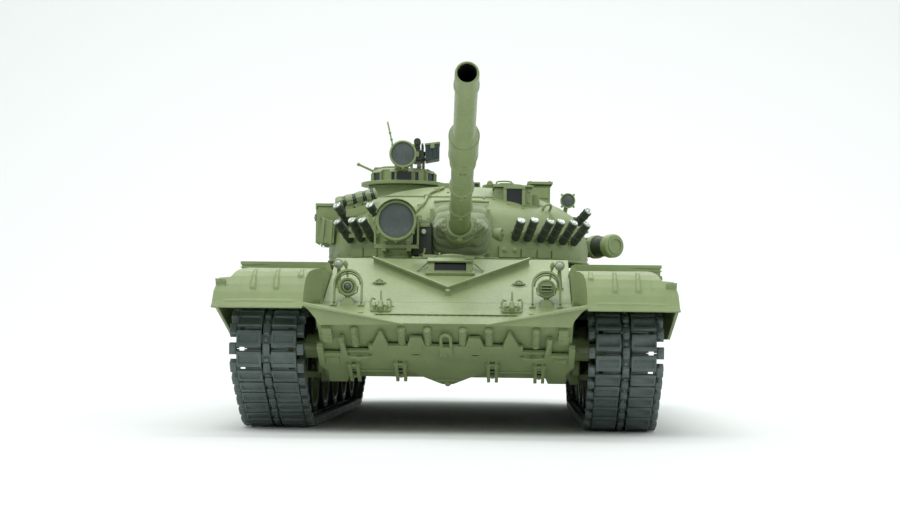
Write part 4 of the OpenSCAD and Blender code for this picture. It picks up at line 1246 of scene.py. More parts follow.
# ---------------------------------------------------------------- headlights
def headlight(side, m):
    s = Shape(HULL @ m)
    lean = turn(-13, "X")
    c = Vector((48.6, 22, 71.3))
    # hoop of flat strap with its two legs, leaning back
    hoop = []
    for k in range(25):
        a = math.pi * k / 24
        hoop.append(Vector((6.75 * math.cos(a), 0, 1.0 + 6.75 * math.sin(a))))
    hoop = [Vector((6.75, 0, -8.6)), Vector((6.75, 0, -4))] + hoop + [
        Vector((-6.75, 0, -4)), Vector((-6.75, 0, -8.6))
    ]
    s.strap(hoop, 3.2, 0.95, (0, 1, 0), move(*(c + Vector((0, 2.6, 0.4)))) @ lean)
    inner = [v * 0.86 + Vector((0, 1.5, 0)) for v in hoop[2:-2]]
    s.tube(inner, 0.35, 8, move(*(c + Vector((0, 2.6, 0.4)))) @ lean)
    for sx in (-1, 1):
        s.box(sx * 6.75 - 1.5, sx * 6.75 + 1.5, -2.4, 2.4, -0.2, 0.8, on_glacis(48.6, 22))
        s.bolt((sx * 6.75 + 0.2, -1.6, 0.8), (0, 0, 1), 0.55, 0.4, m=on_glacis(48.6, 22))
    # foot: tapering block and neck under the lamp
    s.hull(
        [(44.8, 20.6, 61.6), (52.4, 20.6, 61.6), (52.4, 27, 64.2), (44.8, 27, 64.2)],
        [(46.7, 21.6, 65.6), (50.5, 21.6, 65.6), (50.5, 25.6, 65.8), (46.7, 25.6, 65.8)],
    )
    s.rod((48.6, 23.4, 65), (48.6, 23.8, 68.4), 1.3, 16)
    s.strap(
        [
            c + Vector(p)
            for p in (
                (-4.9, 2.6, 0.4), (-4.4, 2.9, -2.8), (0, 3.1, -5.3), (4.4, 2.9, -2.8), (4.9, 2.6, 0.4)
            )
        ],
        1.5, 0.5, (0, 1, 0)
    )
    # lamp body: drum behind, stepped bezel in front
    turned = move(*c) @ turn(90, "X")
    s.lathe(
        [
            (0, -8.6), (2.2, -8.4), (3.6, -7.2), (4.15, -5.2), (4.25, -0.9), (4.55, -0.8), (4.6, 0.5),
            (4.25, 0.75), (3.75, 0.7), (3.6, 0.1)
        ],
        40, turned
    )
    if side == "r":
        # masked lamp: two stepped rings round a domed cap
        s.lathe(
            [
                (3.62, 0.1), (3.5, 0.55), (3.2, 0.6), (3.1, 0.1), (2.75, 0.05), (2.6, 0.5), (2.3, 0.75),
                (1.9, 0.8), (1.85, 0.4)
            ],
            40, turned
        )
        s.mi = 1
        s.lathe([(1.86, 0.4), (1.6, 1.05), (1.1, 1.5), (0.5, 1.72), (0, 1.78)], 32, turned)
    else:
        # hooded lamp: slotted cover with a little roof
        s.lathe([(3.62, 0.1), (3.3, 0.35), (0, 0.4)], 40, turned)
        for z in (1.5, 0.1, -1.3):
            w = 2.9 - 0.2 * abs(z)
            s.hull(
                [
                    (48.6 - w, 21.6, 71.3 + z), (48.6 + w, 21.6, 71.3 + z), (48.6 + w, 21.6, 71.8 + z),
                    (48.6 - w, 21.6, 71.8 + z)
                ],
                [
                    (48.6 - w, 20.2, 70.9 + z), (48.6 + w, 20.2, 70.9 + z), (48.6 + w, 20.2, 71.25 + z),
                    (48.6 - w, 20.2, 71.25 + z)
                ],
            )
        s.mi = 1
        s.box(48.6 - 2.4, 48.6 + 2.4, 21.2, 21.5, 69.4, 73.2)
    s.mi = 0
    # marker lamp on its foot
    top = Vector((55.5, 44, 83.3))
    s.lathe(
        [(0, -4.6), (1.6, -4.4), (2.3, -3.2), (2.4, -0.4), (2.55, 0.1), (2.3, 0.5), (1.9, 0.45)], 28,
        move(*top) @ turn(90, "X")
    )
    s.rod(top + Vector((0, 2.4, -1.8)), (55.5, 46, 71.6), 0.85, 12, 1.5)
    s.box(53.4, 57.6, 43.6, 47.6, 70.6, 72.2)
    s.mi = 2
    s.lathe([(1.9, 0.4), (1.5, 0.9), (0.8, 1.25), (0, 1.35)], 24, move(*top) @ turn(90, "X"))
    s.mi = 0
    # slender post with bulged ends beside the lamp guard
    post = [
        (0.9, 0), (1.1, 0.6), (0.7, 1.3), (0.5, 2.4), (0.55, 8.6), (0.85, 9.6), (1.15, 10.8), (0.8, 12.2),
        (0.4, 12.8), (0, 12.9)
    ]
    s.lathe(post, 16, move(50.2, 46, 72.6) @ turn(9, "Y") @ turn(8, "X"))
    # cable behind the lamp
    s.tube(
        [c + Vector(p) for p in ((0, 7.6, -0.6), (0.6, 9.4, -1.6), (2.2, 11, -1.2), (2.6, 12.6, 0.2))], 0.5,
        8
    )
    s.piece(
        f"headlight_{side}", "hull", "green_plastic", GREEN, DARK_LENS if side == "r" else BLACK, CLEAR,
        bevel=0.08, replaces=("headlights",)
    )


for side, m in SIDES:
    headlight(side, m)
# ---------------------------------------------------------------- blade on the lower front plate
PLATE = HULL @ move(0, 45.9, 27) @ turn(150, "X")
BLADE_HALF = [
    (9.7, 36), (11.3, 43.8), (16.8, 43.8), (18.5, 36), (27.6, 36), (30.2, 48.9), (31.4, 48.9), (35.4, 36),
    (37.4, 36), (37.4, 31), (48.6, 31), (48.6, 43.5), (51.2, 43.5), (51.2, 28), (59.5, 28),
    (59.5, 36.2), (62.4, 36.2), (62.9, 17), (59, 9.4), (59, -0.5), (50, -0.5), (47.2, 11.3),
    (19.5, 11.3), (2.8, -2),
]
s = Shape(PLATE)
s.prism(BLADE_HALF + [(-x, y) for x, y in BLADE_HALF[::-1]], 1.2, 3.0)
for side in (-1, 1):
    for x in (22.5, 45.5):
        s.box(side * x - 2.5, side * x + 2.5, 13, 20, 0.05, 1.2)
    # stiffening fold along the lower edge and up the cheek
    s.box(*sorted((side * 20, side * 47)), 11.3, 12.6, 3.0, 3.7)
    s.box(*sorted((side * 59.6, side * 62.6)), 18, 35.5, 3.0, 3.6)
s.piece("entrenching_blade", "hull", "green_plastic", GREEN, bevel=0.3, replaces=("entrenching_blade",))

for side, m in SIDES:
    s = Shape(PLATE @ m)
    # slide clips: two bars and two bridges with a bolt between them
    for x0, x1, v0, v1 in ((42.8, 48.2, 4, 20.4), (19.8, 25.3, 4.5, 22)):
        for a in (x0, x1 - 1.6):
            s.box(a, a + 1.6, v0, v1, 2.9, 5.2)
        for v in (v0 + 3.2, v1 - 5):
            s.box(x0 + 1.4, x1 - 1.4, v, v + 1.9, 2.9, 4.5)
        s.bolt(((x0 + x1) / 2, v0 + 4.2, 4.5), (0, 0, 1), 0.9, 0.6)
        s.rod((x0 - 0.6, v1 - 1.2, 4.3), (x1 + 0.6, v1 - 1.2, 4.3), 0.75, 12, edge=0.2)
    # handle with its loop, strap on the cheek, folded seat
    s.tube(
        curve(
            [(36.6, 27.2, 3.1), (37.6, 29.0, 5.0), (42, 29.2, 5.6), (46.6, 29.0, 5.0), (47.6, 27.2, 3.1)], 4
        ),
        0.6, 8
    )
    s.ring((42, 27.6, 4.8), (0, 1, 0), 1.5, 0.8, 0.7, 20)
    s.strap([(50.4, 44.2, 3.3), (49.6, 36, 3.5), (48.6, 29, 3.7), (48.0, 24.6, 3.3)], 1.9, 0.5, (1, 0, 0))
    s.bolt((50.0, 40, 3.6), (0, 0, 1), 0.6, 0.4)
    s.box(52.4, 58.6, 20.5, 25.2, 3.0, 3.8)
    for x in (53.4, 57.6):
        s.bolt((x, 22.8, 3.8), (0, 0, 1), 0.65, 0.5)
    # curved lip over the finger slot, weld seams on the teeth
    s.tube(
        [
            (14.4 + 2.6 * math.cos(a), 28 + 1.5 * math.sin(a), 3.1)
            for a in (math.pi * k / 8 for k in range(9))
        ],
        0.45, 8
    )
    for x in (11.4, 16.9, 27.9, 35.0):
        s.tube([(x, 33.2, 3.05), (x, 35.6, 3.1)], 0.3, 6)
    # small box and ribbed spring sleeves on the hull behind the blade's teeth
    s.box(54.3, 58.9, 38, 51, 0.05, 2.4)
    s.box(53.9, 59.3, 44, 45.2, 0.05, 2.8)
    s.bolt((56.6, 41.4, 2.4), (0, 0, 1), 0.8, 0.5)
    for x in (43.6, 21.0, 8.5):
        line = [(0, 33.6)]
        for k in range(7):
            v = 34 + k * 2.4
            line += [(1.05, v), (2.0, v + 0.5), (2.0, v + 1.3), (1.05, v + 1.8)]
        line.append((0, 51.0))
        s.lathe(line, 20, move(x, 0, 1.0) @ turn(-90, "X"))
    s.piece(f"blade_fittings_{side}", "hull", "green_plastic", GREEN, bevel=0.1)
    # black patches between the clip bars and under the finger-slot lip: painted shade standing in for the open
    # slots
    d = Shape(PLATE @ m)
    for x0, x1, v0, v1 in ((44.4, 46.6, 9.1, 15.4), (21.4, 23.7, 9.6, 17)):
        d.box(x0, x1, v0, v1, 2.95, 3.15)
    d.prism(
        [(14.4 + 2.2 * math.cos(a), 27.6 + 1.3 * math.sin(a)) for a in (math.pi * k / 8 for k in range(9))],
        2.95, 3.12
    )
    d.piece(f"blade_slot_shade_{side}", "hull", "black_plastic", BLACK, bevel=0.05)

s = Shape(PLATE)
arch = [
    (-2.1, 28, 3.3), (-2.1, 40, 2.4), (-1.9, 44.0, 2.3), (-0.9, 46.0, 2.3), (0.6, 46.3, 2.3),
    (2.0, 45.0, 2.3), (2.5, 42.5, 2.3), (2.6, 36, 2.6)
]
s.tube(curve(arch, 4), 0.85, 10)
s.box(-2.9, 3.3, 27.4, 36.4, 2.9, 3.9)
s.bolt((0.2, 30, 3.9), (0, 0, 1), 0.9, 0.6)
s.lathe(
    [(0, -1.7)] + [
        (1.7 * math.cos(a), 1.7 * math.sin(a))
        for a in (math.radians(t) for t in range(-75, 90, 15))
    ] + [(0, 1.7)],
    24, move(0.2, 0.6, 3.6)
)
s.rod((-6, 3.2, 3.4), (6, 3.2, 3.4), 0.5, 10, edge=0.15)
s.piece("blade_centre_lug", "hull", "green_plastic", GREEN, bevel=0.12)

# ---------------------------------------------------------------- turret
keep("turret_shell", CAST, 0.5, 3)
keep("turret_ring", STEEL, 0)
keep("elevation_servo", BLACK, 0.25)
keep("mantlet", GREEN, 0.2)
keep("cupola", GREEN, 0.3)
keep("commander_hatch", GREEN, 0.35)
keep("gunner_hatch", GREEN, 0.35)

DOME = [
    (75.5, 91), (75.8, 97), (74.6, 104), (71.8, 112), (67, 117.5), (60, 122), (50, 126.5), (38, 130.5),
    (24, 133.2), (0, 134.5)
]


def dome_at(z):
    """Radius and outward tilt of the dome's side at a height."""
    for (r0, z0), (r1, z1) in zip(DOME, DOME[1:]):
        if z <= z1:
            t = max(0.0, (z - z0) / (z1 - z0))
            return r0 + (r1 - r0) * t, math.atan2(r0 - r1, z1 - z0)
    return 0.0, math.pi / 2


def dome_z(r):
    for (r0, z0), (r1, z1) in zip(DOME, DOME[1:]):
        if r1 <= r <= r0:
            return z0 + (z1 - z0) * (r0 - r) / (r0 - r1)
    return 91.0


def on_dome(deg, z, up=0.0):
    """On the dome at an angle from straight ahead towards +x: x across, y up the face, z outwards."""
    r, tilt = dome_at(z)
    return turn(deg, "Z") @ move(0, -r, z) @ Matrix.Rotation(math.pi / 2 - tilt, 4, "X") @ move(0, 0, up)


def dome_line(points, up=0.2):
    return [
        (r * math.sin(math.radians(a)), -r * math.cos(math.radians(a)), dome_z(r) + up)
        for a, r in points
    ]


s = Shape(TURRET)
s.lathe(
    [(74.2, 89.35), (76.1, 89.35), (76.5, 89.8), (76.3, 90.5), (75.5, 90.9), (74.6, 90.6)], 144, closed=True
)
for k in range(36):
    s.bolt(
        on_dome(5 + 10 * k, 92.6) @ Vector((0, 0, -0.1)),
        on_dome(5 + 10 * k, 92.6).to_3x3() @ Vector((0, 0, 1)), 0.55, 0.4
    )
# weld bead round the roof plate
s.tube(
    dome_line(
        [(a, 51 + 3 * math.cos(math.radians(2 * a)) + 0.25 * math.sin(a)) for a in range(-178, 180, 3)]
    ),
    0.55, 6, closed=True
)
for deg in (-52, 48, 128, -132):
    m = on_dome(deg, 118.5)
    s.tube(
        curve(
            [
                m @ Vector(p)
                for p in (
                    (-3, 0, -0.6), (-2.9, 0, 2.2), (-1.5, 0, 3.8), (1.5, 0, 3.8), (2.9, 0, 2.2),
                    (3, 0, -0.6)
                )
            ],
            4
        ),
        0.75, 10
    )
for deg, z in ((14, 124), (20, 124), (-8, 128), (2, 128.5), (26, 121), (33, 119)):
    m = on_dome(deg, z)
    s.bolt(m @ Vector((0, 0, 0)), m.to_3x3() @ Vector((0, 0, 1)), 0.8, 0.6)
# plate beside the mantlet with its two screws and ribs
m = on_dome(21, 94.2)
s.box(-6.2, 6.2, -3.4, 2.8, -1.6, 1.4, m)
for x in (-3.2, 2.8):
    s.rod(m @ Vector((x, 0.6, 1.2)), m @ Vector((x, 0.6, 2.1)), 1.3, 20, edge=0.25)
    s.bolt(m @ Vector((x, 0.6, 2.0)), m.to_3x3() @ Vector((0, 0, 1)), 0.6, 0.4)
for a in (30, 38, 46, -40, -48):
    m = on_dome(a, 93.4)
    s.box(-4.6, 4.6, -2.4, 2.0, -1.0, 0.7, m)
# plugs over the ends of the trunnion bore
for x in (-1, 1):
    s.rod(
        (x * 18.6, -TRUNNION_R + 0.4, TRUNNION_Z), (x * 23.4, -TRUNNION_R - 1.6, TRUNNION_Z), 3.6, 24,
        edge=0.5
    )
    s.bolt((x * 23.3, -TRUNNION_R - 1.6, TRUNNION_Z), (x, -0.4, 0), 1.2, 0.6)
# frame of the mantlet port
for x in (-15.2, 15.6):
    s.box(x - 0.9, x + 0.9, -76, -62, 92.4, 116.5)
s.tube([(-14.2, -61.5, 121.6), (0, -62.5, 122.4), (16.2, -61.5, 121.6)], 0.8, 8)
# hand rail on the roof's right
s.tube(
    curve(
        [
            m @ Vector(p)
            for m, p in (
                (on_dome(60, 108), (0, 0, -0.4)), (on_dome(60, 108), (0, 0, 2.6)),
                (on_dome(72, 108), (0, 0, 3)), (on_dome(84, 108), (0, 0, 2.6)),
                (on_dome(84, 108), (0, 0, -0.4))
            )
        ],
        5
    ),
    0.6, 8
)
s.piece("turret_fittings", "turret", "green_plastic", GREEN, bevel=0.12)

# sight housings: window between side frames, lid, knob on its arm, plain head behind
s = Shape(TURRET)
s.box(18.8, 41.2, -51.2, -23.4, 130.9, 132.0)
for x0, x1 in ((24.4, 26.2), (34.8, 36.6)):
    s.box(x0, x1, -52.6, -49.9, 120.4, 131.2)
s.box(24.4, 36.6, -53.0, -49.9, 129.9, 131.4)
s.box(24.4, 36.6, -52.0, -49.9, 119.6, 121.0)
for x, z in ((21.8, 122.6), (21.8, 128.6), (38.8, 122.6), (38.8, 128.6)):
    s.bolt((x, -50, z), (0, -1, 0), 0.75, 0.5)
for x in (21, 30.5, 39):
    for y in (-49, -26):
        s.bolt((x, y, 132.0), (0, 0, 1), 0.8, 0.5)
s.box(22, 31, -44, -34, 132, 133.4)
s.box(22.6, 30.4, -43.4, -34.6, 133.4, 133.9)
s.box(40.6, 55.4, 4.4, 19.6, 137.6, 139.2)
for x in (42.4, 53.6):
    for y in (6.2, 17.8):
        s.bolt((x, y, 139.2), (0, 0, 1), 0.7, 0.5)
s.box(43.2, 52.8, 5.4, 6.1, 129.4, 135.6)
s.tube(curve([(19.6, -44, 131.5), (18.4, -44.5, 132.6), (17.2, -45, 133.0)], 4), 0.7, 10)
s.rod((17.0, -46.6, 133.2), (17.0, -43.4, 133.2), 1.7, 20, edge=0.5)
# cover plates stepping down the dome beside the housing
s.box(40.6, 45.0, -44, -26, 117, 127.6)
s.hull(
    [(45, -42, 115), (50, -36, 115), (50, -24, 115), (45, -24, 115)],
    [(45, -42, 122), (50, -36, 121), (50, -24, 121), (45, -24, 122)]
)
s.piece("sight_frames", "turret", "green_plastic", GREEN, bevel=0.18)
s = Shape(TURRET)
s.box(26.2, 34.8, -50.6, -49.9, 121.0, 129.9)
s.piece("sight_windows", "turret", "black_plastic", WINDOW, bevel=0.1)
s = Shape(TURRET)
s.box(41.2, 54.8, 5.0, 19.0, 136.8, 137.6)
s.box(19.3, 40.7, -50.4, -24, 130.4, 130.9)
s.piece("sight_gaskets", "turret", "black_plastic", BLACK, bevel=0.1)

# gunner's lamp on its bracket
s = Shape(HULL)
s.lathe(
    [
        (0, -3.4), (2.4, -3.2), (3.9, -1.6), (4.5, 0.6), (4.5, 2.2), (4.1, 2.6), (3.7, 2.2), (3.7, 1.2),
        (0, 1.2)
    ],
    40, towards((64.2, 201, 128.2), (64.2, 190, 128.2))
)
for a in (45, 135, 225, 315):
    d = Vector((math.cos(math.radians(a)), 0, math.sin(math.radians(a))))
    s.rod(Vector((64.2, 199.6, 128.2)) + d * 4.2, Vector((64.2, 199.6, 128.2)) + d * 5.6, 0.7, 10)
s.tube(curve([(62.6, 205, 118.5), (62.8, 205, 122), (63.6, 204.4, 126), (64.2, 203.6, 128)], 4), 1.3, 10)
s.piece("gunner_lamp", "turret", "green_plastic", GREEN, bevel=0.12)
s = Shape(HULL)
s.lathe(
    [(0, 1.1), (3.8, 1.1), (3.8, 1.6), (2.4, 2.1), (0, 2.3)], 40,
    towards((64.2, 201, 128.2), (64.2, 190, 128.2))
)
s.piece("gunner_lamp_lens", "turret", "lamp_glass", DARK_LENS, bevel=0, angle=60)

# ---------------------------------------------------------------- gun
# stations of the thermal sleeve's clamps, from the trunnion
SLEEVE_CLAMPS = (67, 112, 160)
tube_line = [(0, -40), (5.2, -40), (5.5, -39.5), (5.5, 26), (5.35, 30), (5.35, 66)]
for s0 in SLEEVE_CLAMPS:
    tube_line += [
        (5.3, s0), (6.0, s0 + 0.3), (6.1, s0 + 0.6), (6.1, s0 + 3.4), (6.0, s0 + 3.7), (5.3, s0 + 4.2)
    ]
tube_line += [
    (5.3, 170), (5.7, 172), (6.5, 176.5), (6.6, 178), (6.6, 205), (6.5, 206.5), (5.6, 211), (4.9, 212.5)
]
tube_line += [
    (4.75, 214), (4.6, 250), (4.5, 279.4), (4.9, 279.9), (5.05, 280.4), (5.05, 283.6), (4.9, 284.2),
    (4.75, 284.6)
]
tube_line += [
    (4.7, 296.8), (4.55, 297.9), (4.3, 298.3), (3.95, 298.35), (3.75, 298.0), (3.7, 297), (3.7, 274),
    (0, 274)
]
s = Shape(GUN)
s.lathe(tube_line, 72)
s.piece("gun_barrel", "gun", "gun_paint", TUBE, bevel=0, angle=26, replaces=("gun_barrel",))
s = Shape(GUN)
for s0 in SLEEVE_CLAMPS:
    for a in (90, -90):
        m = turn(a, "Z")
        s.box(5.7, 7.4, -1.1, 1.1, s0 + 0.5, s0 + 3.6, m)
        s.rod((6.7, -1.6, s0 + 2), (6.7, 1.6, s0 + 2), 0.5, 6, m=m)
# cable clips and the seam of the thermal sleeve along the underside
s.strap([(0, 5.35, 37), (0, 5.4, 66)], 1.6, 0.3, (1, 0, 0))
s.strap([(0, 5.4, 72), (0, 5.4, 111)], 1.6, 0.3, (1, 0, 0))
s.strap([(0, 5.4, 117), (0, 5.4, 159)], 1.6, 0.3, (1, 0, 0))
for z in (42, 52, 62, 80, 94, 106, 124, 138, 152):
    s.bolt((0, 5.5, z), (0, 1, 0), 0.6, 0.35)
s.ring((0, 0, 175.5), (0, 0, 1), 6.75, 6.3, 1.2, 60)
s.ring((0, 0, 206), (0, 0, 1), 6.75, 6.3, 1.2, 60)
s.piece("gun_clamps", "gun", "gun_paint", TUBE, bevel=0.1)
s = Shape(GUN)
s.lathe([(0, 274.4), (3.66, 274.4), (3.66, 297.2), (3.5, 297.3), (3.5, 275), (0, 275)], 48)
s.piece("gun_bore", "gun", "black_plastic", BLACK, bevel=0, angle=30)

# ---------------------------------------------------------------- mantlet cover: canvas gathered round the gun
IN_TURRET = TURRET.inverted() @ GUN
ROWS, COLS = 84, 192


def cover_edge(a, x_half, z_half):
    """A rounded rectangle lying on the turret's face."""
    ca, sa = math.cos(a), math.sin(a)
    k = (abs(ca) ** 4.5 + abs(sa) ** 4.5) ** (-1 / 4.5)
    x, z = 0.9 + x_half * k * ca, 105.4 + z_half * k * sa
    r = dome_at(max(91, z))[0]
    return Vector((x, -math.sqrt(max(0.0, r * r - x * x)) - 0.55, z))


def cover_base(t, a):
    ca, sa = math.cos(a), math.sin(a)
    outer = cover_edge(a, 15.6, 14.6)
    inner = IN_TURRET @ Vector((6.5 * ca, -6.5 * sa, 25.2))
    middle = (IN_TURRET @ Vector((12.6 * ca, -12.6 * sa, 22.0))).lerp(outer, 0.12)
    return outer * (1 - t) ** 2 + middle * 2 * t * (1 - t) + inner * t * t


rows = []
for j in range(ROWS + 1):
    t = j / ROWS
    row = []
    for i in range(COLS):
        a = 2 * math.pi * i / COLS
        ca, sa = math.cos(a), math.sin(a)
        p = cover_base(t, a)
        along_t = cover_base(min(1, t + 0.01), a) - cover_base(max(0, t - 0.01), a)
        along_a = cover_base(t, a + 0.02) - cover_base(t, a - 0.02)
        normal = along_a.cross(along_t).normalized()
        if normal.dot(p - (IN_TURRET @ Vector((0, 0, 4)))) < 0:
            normal.negate()
        # folds: rings that wander, run together at the corners and fade at both edges
        wander = noise.noise(
            Vector((2.1 * ca, 2.1 * sa, 2.4 * t))
        ) + 0.5 * noise.noise(Vector((5 * ca, 5 * sa, 4 * t)))
        turns = 7.2 * t**0.9 + 0.2 * wander + 0.1 * math.sin(3 * a + 0.7) + 0.04 * math.sin(7 * a)
        fold = 2 * abs(math.sin(math.pi * turns)) ** 0.6 - 1
        gather = math.sin(17 * a + 3.2 * wander) * smooth_step((t - 0.6) / 0.3)
        fade = smooth_step(t / 0.08) * smooth_step((1 - t) / 0.06)
        height = 0.75 * fold * (
            0.9 + 0.35 * noise.noise(Vector((3 * ca, 3 * sa, 9)))
        ) + 0.2 * gather + 0.12 * wander
        row.append(p + normal * fade * height)
    rows.append(row)
s = Shape(TURRET)
s.sheet(rows, closed=True)
cover = s.piece(
    "mantlet_cover", None, "canvas", CANVAS, bevel=0, angle=180, solid=0.5, replaces=("mantlet_cover",),
    recalc=True
)
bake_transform(cover)
s = Shape(GUN)
s.lathe([(5.75, 23.8), (7.3, 23.7), (7.5, 24.2), (7.5, 25.6), (7.3, 26.1), (5.75, 26.2)], 56, closed=True)
s.box(-1.3, 1.3, -9.2, -7.2, 23.9, 25.9)
s.rod((-2.0, -8.3, 24.9), (2.0, -8.3, 24.9), 0.55, 8)
s.piece("cover_clamp", "gun_cradle", "green_plastic", GREEN, bevel=0.1)
s = Shape(TURRET)
frame_line = [cover_edge(2 * math.pi * i / 72, 15.9, 14.9) for i in range(72)]
s.tube(frame_line, 0.95, 8, closed=True)
for i in (9, 27, 45, 63, 0, 18, 36, 54):
    p = Vector(frame_line[i])
    s.bolt(p, (0, -1, 0.15), 1.1, 0.95, 12)
s.piece("cover_frame", "turret", "green_plastic", GREEN, bevel=0.1)

# ---------------------------------------------------------------- main searchlight
LX, LZ = -33.9, 108.7
FRONT = TURRET @ move(LX, 0, LZ) @ turn(90, "X")
s = Shape(FRONT)
s.lathe(
    [
        (0, 79.5), (5.5, 79.8), (7.4, 81.4), (8.2, 84.2), (10.3, 85.0), (10.9, 85.8), (10.9, 93.6),
        (10.75, 94.2), (10.75, 94.9), (10.4, 95.0), (9.5, 95.0), (9.3, 94.6), (9.3, 93.0), (0, 93.0)
    ],
    72
)
for z0 in (86.6, 88.6):
    s.ring((0, 0, z0), (0, 0, 1), 11.15, 10.7, 0.7, 72)
for a in (35, 145, 215, 325, 90, 270):
    x, y = 11.0 * math.cos(math.radians(a)), 11.0 * math.sin(math.radians(a))
    s.rod((x, y, 91.4), (x, y, 94.4), 0.95, 12, edge=0.2)
# hood lip over the glass
s.sheet(
    [
        [(r * math.cos(a), r * math.sin(a), h) for a in (math.radians(t) for t in range(20, 161, 4))]
        for r, h in ((11.0, 90.0), (11.4, 92), (11.6, 96.6), (11.2, 96.6), (11.0, 92.0))
    ]
)
# yoke
for x in (-11.9, 11.0):
    s.box(x, x + 1.1, -13.6, 2.6, 85.2, 90.2)
s.box(-11.9, 12.1, -14.6, -12.6, 84.6, 90.2)
for x in (-12.6, 12.0):
    s.rod((x, 0, 87.8), (x + 0.8, 0, 87.8), 2.0, 16, edge=0.2)
s.piece("searchlight", "lamp", "green_plastic", GREEN, bevel=0.15, replaces=("searchlight",))
s = Shape(FRONT)
s.lathe([(0, 92.9), (9.35, 92.9), (9.35, 93.6), (7.0, 94.1), (3.6, 94.4), (0, 94.5)], 72)
s.piece("searchlight_glass", "lamp", "lamp_glass", DARK_LENS, bevel=0, angle=60)
s = Shape(TURRET)
s.box(LX - 5.0, LX + 5.0, -88, -82.5, 93.6, 98.6)
s.rod((LX - 7.8, -86, 95.5), (LX + 7.8, -86, 95.5), 1.45, 16, edge=0.2)
s.piece("searchlight_foot", "lamp", "green_plastic", GREEN, bevel=0.25)

# power box between searchlight and gun, cable over the roof
s = Shape(HULL)
s.box(-22.0, -11.6, 106.6, 117, 90.6, 108.6)
s.box(-22.4, -11.0, 108.0, 116, 90.2, 96.0)
s.piece("lamp_power_box", "turret", "black_plastic", LAUNCHER, bevel=0.8, segments=3)
s = Shape(HULL)
s.box(-18.6, -12.8, 106.1, 107.0, 106.2, 108.2)
for x, z in ((-17.9, 107.2), (-13.4, 107.2)):
    s.bolt((x, 106.1, z), (0, -1, 0), 0.5, 0.35)
s.box(-20.4, -13.2, 108, 114, 108.6, 110.0)
s.box(-19.8, -17.6, 107, 113, 110.0, 112.4)
s.tube(
    curve([(-15.4, 106.6, 94.4), (-15.6, 105.0, 92.4), (-16.6, 104.9, 91.0), (-18.2, 106.4, 90.8)], 5), 0.7,
    8
)
s.piece("lamp_power_fittings", "turret", "green_plastic", GREEN, bevel=0.12)
s = Shape(HULL)
s.rod((-16.0, 106.8, 103.4), (-16.0, 104.7, 103.4), 1.35, 24, edge=0.35)
s.piece("lamp_power_button", "turret", "launcher_black", CAP, bevel=0)
s = Shape(TURRET)
cable = []
for k in range(25):
    t = k / 24
    a = math.radians(-22 + 7 * t + 2 * math.sin(7 * t))
    r = 72 - 34 * t
    cable.append((r * math.sin(a), -r * math.cos(a), dome_z(r) + 0.9))
s.tube(cable, 0.9, 8)
for k in (4, 12, 20):
    p = Vector(cable[k])
    s.box(p.x - 1.8, p.x + 1.8, p.y - 0.7, p.y + 0.7, p.z - 1.6, p.z + 1.0)
s.piece("lamp_cable_guard", "turret", "green_plastic", GREEN, bevel=0.1)

# ---------------------------------------------------------------- smoke launchers
LAUNCHERS = [
    ((-66.0, 134.0, 119.2), (-59.3, 141.3, 109.5)), ((-46.3, 117.0, 118.4), (-40.6, 124.5, 109.2)),
    ((-65.5, 133.0, 110.1), (-58.1, 139.8, 99.6)), ((-56.7, 125.2, 110.5), (-51.4, 132.8, 99.9)),
    ((-50.6, 119.5, 110.2), (-44.6, 127.2, 99.6)),
    ((36.4, 112.5, 110.3), (33.0, 120.2, 100.6)), ((43.7, 116.2, 110.9), (39.6, 123.9, 100.3)),
    ((52.4, 121.3, 110.6), (46.7, 128.8, 100.1)), ((58.3, 126.7, 110.8), (52.7, 134.0, 99.9)),
    ((65.6, 134.0, 110.7), (59.1, 141.0, 99.7)), ((73.2, 143.6, 110.5), (65.4, 150.1, 99.7)),
    ((74.0, 148.4, 118.3), (68.1, 155.2, 111.6)),
]
tubes, caps, mounts = Shape(HULL), Shape(HULL), Shape(HULL)
for cap, foot in LAUNCHERS:
    cap, foot = Vector(cap), Vector(foot)
    m = towards(foot, cap)
    n = (cap - foot).length
    tubes.lathe(
        [
            (0, 0), (1.7, 0), (2.2, 0.5), (2.35, 1.2), (2.35, n - 1.8), (2.5, n - 1.6), (2.5, n - 0.3),
            (2.2, n), (0, n)
        ],
        32, m
    )
    tubes.ring(m @ Vector((0, 0, n * 0.3)), cap - foot, 2.65, 2.3, 0.8, 32)
    caps.lathe(
        [
            (2.1, n - 0.1), (2.3, n + 0.1), (2.25, n + 0.6), (1.9, n + 0.8), (1.6, n + 0.55),
            (1.2, n + 0.5), (0.9, n + 0.8), (0, n + 0.85)
        ],
        32, m
    )
    tubes.ring(m @ Vector((0, 0, n * 0.6)), cap - foot, 2.62, 2.3, 0.9, 32)
    # bracket back to the turret
    low = m @ Vector((0, 0, n * 0.18))
    out = Vector((low.x, low.y - TURRET_Y, 0)).normalized()
    back = low - out * 5.2
    mounts.rod(low - out * 1.6, back, 1.25, 12)
    side = out.cross(Vector((0, 0, 1)))
    up = Vector((0, 0, 1))
    ring_c = low - out * 1.9
    mounts.hull(
        [ring_c + side * a * 2.1 + up * b * 2.6 for a, b in ((-1, -1), (1, -1), (1, 1), (-1, 1))],
        [ring_c - out * 0.9 + side * a * 2.1 + up * b * 2.6 for a, b in ((-1, -1), (1, -1), (1, 1), (-1, 1))],
    )
tubes.piece(
    "smoke_launcher_tubes", "turret", "launcher_black", LAUNCHER, bevel=0, replaces=("smoke_launchers",)
)
caps.piece("smoke_launcher_caps", "turret", "launcher_black", CAP, bevel=0)


def plate(shape, points, thick):
    """A flat plate through points, pushed along its own normal."""
    points = [Vector(p) for p in points]
    normal = (points[1] - points[0]).cross(points[2] - points[0]).normalized() * thick
    shape.hull(points, [p + normal for p in points])


